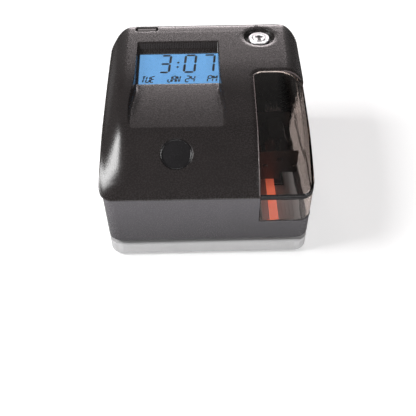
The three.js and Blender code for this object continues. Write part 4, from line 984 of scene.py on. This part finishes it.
def make_guide():
    """The red strip, which steps to the left where it passes the cartridge's arm."""
    front, step, stepped, rear = 7.0, 62.0, 66.0, 104.7
    plan = [(50.0, front), (57.2, front), (57.2, step), (56.2, stepped), (56.2, rear), (49.2, rear),
            (49.2, stepped), (50.0, step)]
    strip = prism("guide", plan, FLOOR + GAP, 24.2)
    dress(bevel(strip, 0.25), "base", "red", ["guide_strip"], angle=None)


def make_cartridge():
    """The knob that winds the ribbon by hand, and the ribs on the cartridge's lid."""
    profile = [(7.2, 40.3), (7.5, 40.6), (7.5, 44.6), (6.9, 45.3), (0.1, 45.3)]
    knob = lathe("knob", profile, at(KNOB_X, KNOB_Y), 72)
    grips = pegs("grip", circle(KNOB_X, KNOB_Y, 7.6, 16), 0.9, 39, 46, 16)
    combine(knob, "DIFFERENCE", *grips, box("key", around(KNOB_X, 3.8), around(KNOB_Y, 0.9), (44.3, 46)))
    dress(knob, "ribbon_drive", "light", ["ribbon_knob"], angle=40)
    count, first, pitch, width = 6, 70, 5.2, 2.4
    ribs = [box("lid", (26.0, 38.0), (first + k * pitch, first + k * pitch + width), (39.9, 40.5))
            for k in range(count)]
    dress(bevel(join("cartridge_ribs", ribs), 0.2), "base", "dark", angle=40)


# The setting keys, the parts on the board and the pin in the power socket
def make_keys():
    profile = [(2.4, 85.7), (2.6, 85.9), (2.6, 91.6), (2.3, 92.35), (1.6, 92.7), (0.1, 92.7)]
    for k in range(4):
        key = lathe(f"key_{k + 1}", profile, at(KEY_X, KEY_FIRST + KEY_PITCH * k), 40)
        dress(key, f"key_{k + 1}", "light", [f"button_{k + 1}"])


def can(x, y, radius, height):
    return lathe("can", [(radius - 0.3, 0), (radius, 0.4), (radius, height - 0.5), (radius - 0.5, height),
                         (0.1, height)], at(x, y, BOARD_TOP), 32)


def on_board(name, x, y, height):
    return box(name, x, y, (BOARD_TOP, BOARD_TOP + height))


def make_board_parts():
    cans = [can(-10, 158, 4, 9), can(0.5, 158, 3.2, 8), can(8, 151, 2.6, 7)]
    dress(join("board_cans", cans), "base", "dark")
    cell = lathe("cell", [(7.6, 0), (8, 0.3), (8, 3.0), (7.4, 3.3), (0.1, 3.3)], at(-52, 156, BOARD_TOP))
    metal = [cell, on_board("crystal", (12, 22), (155, 158.6), 3.4)]
    dress(bevel(join("board_metal", metal), 0.15), "base", "chrome", angle=40)
    left = (-71.5, -66.5)
    plugs = [on_board("plug", left, (114, 132), 7.5), on_board("plug", left, (138, 152), 7.5),
             on_board("plug", (-2, 12), (162, 166.5), 6.5)]
    dress(bevel(join("board_plugs", plugs), 0.3), "base", "light", angle=40)
    pitch = 3
    small = [on_board("small", (-34 + pitch * k, -32.4 + pitch * k), (163.4, 166.6), 1.0) for k in range(9)]
    small += [on_board("small", (16.0, 19.0), (106 + pitch * k, 107.4 + pitch * k), 0.9) for k in range(12)]
    dress(bevel(join("board_small", small), 0.1), "base", "dark", angle=40)


def make_jack_pin():
    profile = [(1.0, 168.2), (1.0, 175.4), (0.8, 176.0), (0.4, 176.2)]
    dress(lathe("jack_pin", profile, along_y(JACK_X, JACK_Z), 24), "base", "chrome")


for make in (make_cover, make_recess_ribs, make_lock_marks, make_upper_window, make_lower_window,
             make_window_strips, make_window_trim, make_housing, make_tray, make_column, make_plate,
             make_feet, make_screws, make_display, make_lock, make_emblem, make_hook, make_rods,
             make_drive_screw, make_motor, make_bushes, make_guide, make_cartridge, make_keys,
             make_board_parts, make_jack_pin):
    make()

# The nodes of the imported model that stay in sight, each with its finish and its edges' bevel
KEPT = {
    "platen": ("rubber", 0.15), "paper_stop": ("dark", 0.3), "dc_jack": ("dark", 0.2),
    "trigger_lever": ("dark", 0.2), "trigger_pin": ("steel", 0), "main_board": ("board", 0.1),
    "display_holder": ("dark", 0.3), "lock_nut": ("steel", 0.3), "lock_cam": ("steel", 0.2),
    "print_frame": ("black", 0.2), "print_carriage": ("dark", 0.4), "print_head": ("aluminium", 0.15),
    "screw_gear": ("light", 0.06), "motor_pinion": ("light", 0.06), "ribbon_cartridge": ("dark", 0.4),
    "ink_ribbon": ("ink", 0),
}
for name, (finish, width) in KEPT.items():
    node = nodes[name]
    node.data.materials.clear()
    node.data.materials.append(M[finish])
    if width:
        bevel(node, width, settled=False)


# The room: a pale floor, a wide soft sky and lamps at a plain level
def make_floor():
    """A floor that reads white to the camera, and duller behind the machine in reflections."""
    side, glow, dull_level = (-3000, 3000), 0.35, 0.05
    floor = new_object("floor", [(x, y, 0) for x, y in corners_of(side, side)], [(0, 1, 2, 3)])
    finish = material("floor", (0.84, 0.84, 0.84), 0.7, grain=0.01, tint=0.005, wide=0.3)
    floor.data.materials.append(finish)
    tree = finish.node_tree
    shader = tree.nodes["Principled BSDF"].outputs["BSDF"]
    path = tree.nodes.new("ShaderNodeLightPath").outputs
    seen = worked_out(tree, "ShaderNodeMath", path["Is Camera Ray"], path["Is Transmission Ray"],
                      operation="MAXIMUM")
    depth = axis_of(tree, tree.nodes["Texture Coordinate"].outputs["Object"], "Y")
    behind = spread(tree, depth, 0.0, 0.8, -0.16, 0.0)
    mirrored = worked_out(tree, "ShaderNodeMath", path["Is Glossy Ray"], behind, operation="MULTIPLY")
    dim = tree.nodes.new("ShaderNodeBsdfDiffuse")
    dim.inputs["Color"].default_value = (dull_level, dull_level, dull_level, 1)
    light = tree.nodes.new("ShaderNodeEmission")
    light.inputs["Strength"].default_value = glow
    dull = worked_out(tree, "ShaderNodeMixShader", mirrored, shader, dim.outputs["BSDF"])
    bright = worked_out(tree, "ShaderNodeAddShader", shader, light.outputs["Emission"])
    tree.links.new(worked_out(tree, "ShaderNodeMixShader", seen, dull, bright),
                   tree.nodes["Material Output"].inputs["Surface"])


def make_sky():
    """Bright low down, dim above and to the sides, and white to the camera."""
    world = bpy.data.worlds.new("sky")
    scene.world = world
    world.use_nodes = True
    sky = world.node_tree
    coords = sky.nodes.new("ShaderNodeTexCoord").outputs["Generated"]
    ramp = sky.nodes.new("ShaderNodeValToRGB")
    sky.links.new(axis_of(sky, coords, "Z"), ramp.inputs["Fac"])
    stops = ramp.color_ramp.elements
    stops[0].color, stops[1].color = (0.9, 0.9, 0.9, 1), (0.16, 0.16, 0.16, 1)
    for place, level in ((0.28, 0.9), (0.41, 0.18)):
        stops.new(place).color = (level, level, level, 1)
    aside = worked_out(sky, "ShaderNodeMath", axis_of(sky, coords, "X"), operation="ABSOLUTE")
    narrow = veil(sky, ramp.outputs["Color"], spread(sky, aside, 1.0, 0.12, 0.2, 0.55))
    white = sky.nodes.new("ShaderNodeMix")
    white.data_type = "RGBA"
    white.inputs["B"].default_value = (1, 1, 1, 1)
    sky.links.new(sky.nodes.new("ShaderNodeLightPath").outputs["Is Camera Ray"], white.inputs["Factor"])
    sky.links.new(narrow, white.inputs["A"])
    sky.links.new(white.outputs["Result"], sky.nodes["Background"].inputs["Color"])


def lamp(name, place, target, size, power, colour=(1.0, 1.0, 1.0)):
    data = bpy.data.lights.new(name, "AREA")
    data.shape, data.size, data.size_y = "RECTANGLE", *size
    data.energy, data.color = power, colour
    made = put(name, data)
    made.location = place
    made.rotation_mode = "QUATERNION"
    made.rotation_quaternion = (Vector(target) - Vector(place)).to_track_quat("-Z", "Y")


make_floor()
make_sky()
lamp("left_box", (-1.05, -0.08, 1.0), (-0.05, -0.03, 0.08), (0.62, 0.5), 20)
lamp("right_box", (1.15, -0.55, 0.75), (0, 0, 0.05), (0.7, 0.7), 7)
lamp("rear_box", (0.05, 1.8, 0.66), (0, 0, 0.08), (1.1, 0.3), 14, (1.0, 0.9, 0.915))
lamp("front_box", (0.0, -1.6, 0.5), (0, 0, 0.05), (1.4, 0.5), 8)

scene.view_settings.view_transform = "Standard"
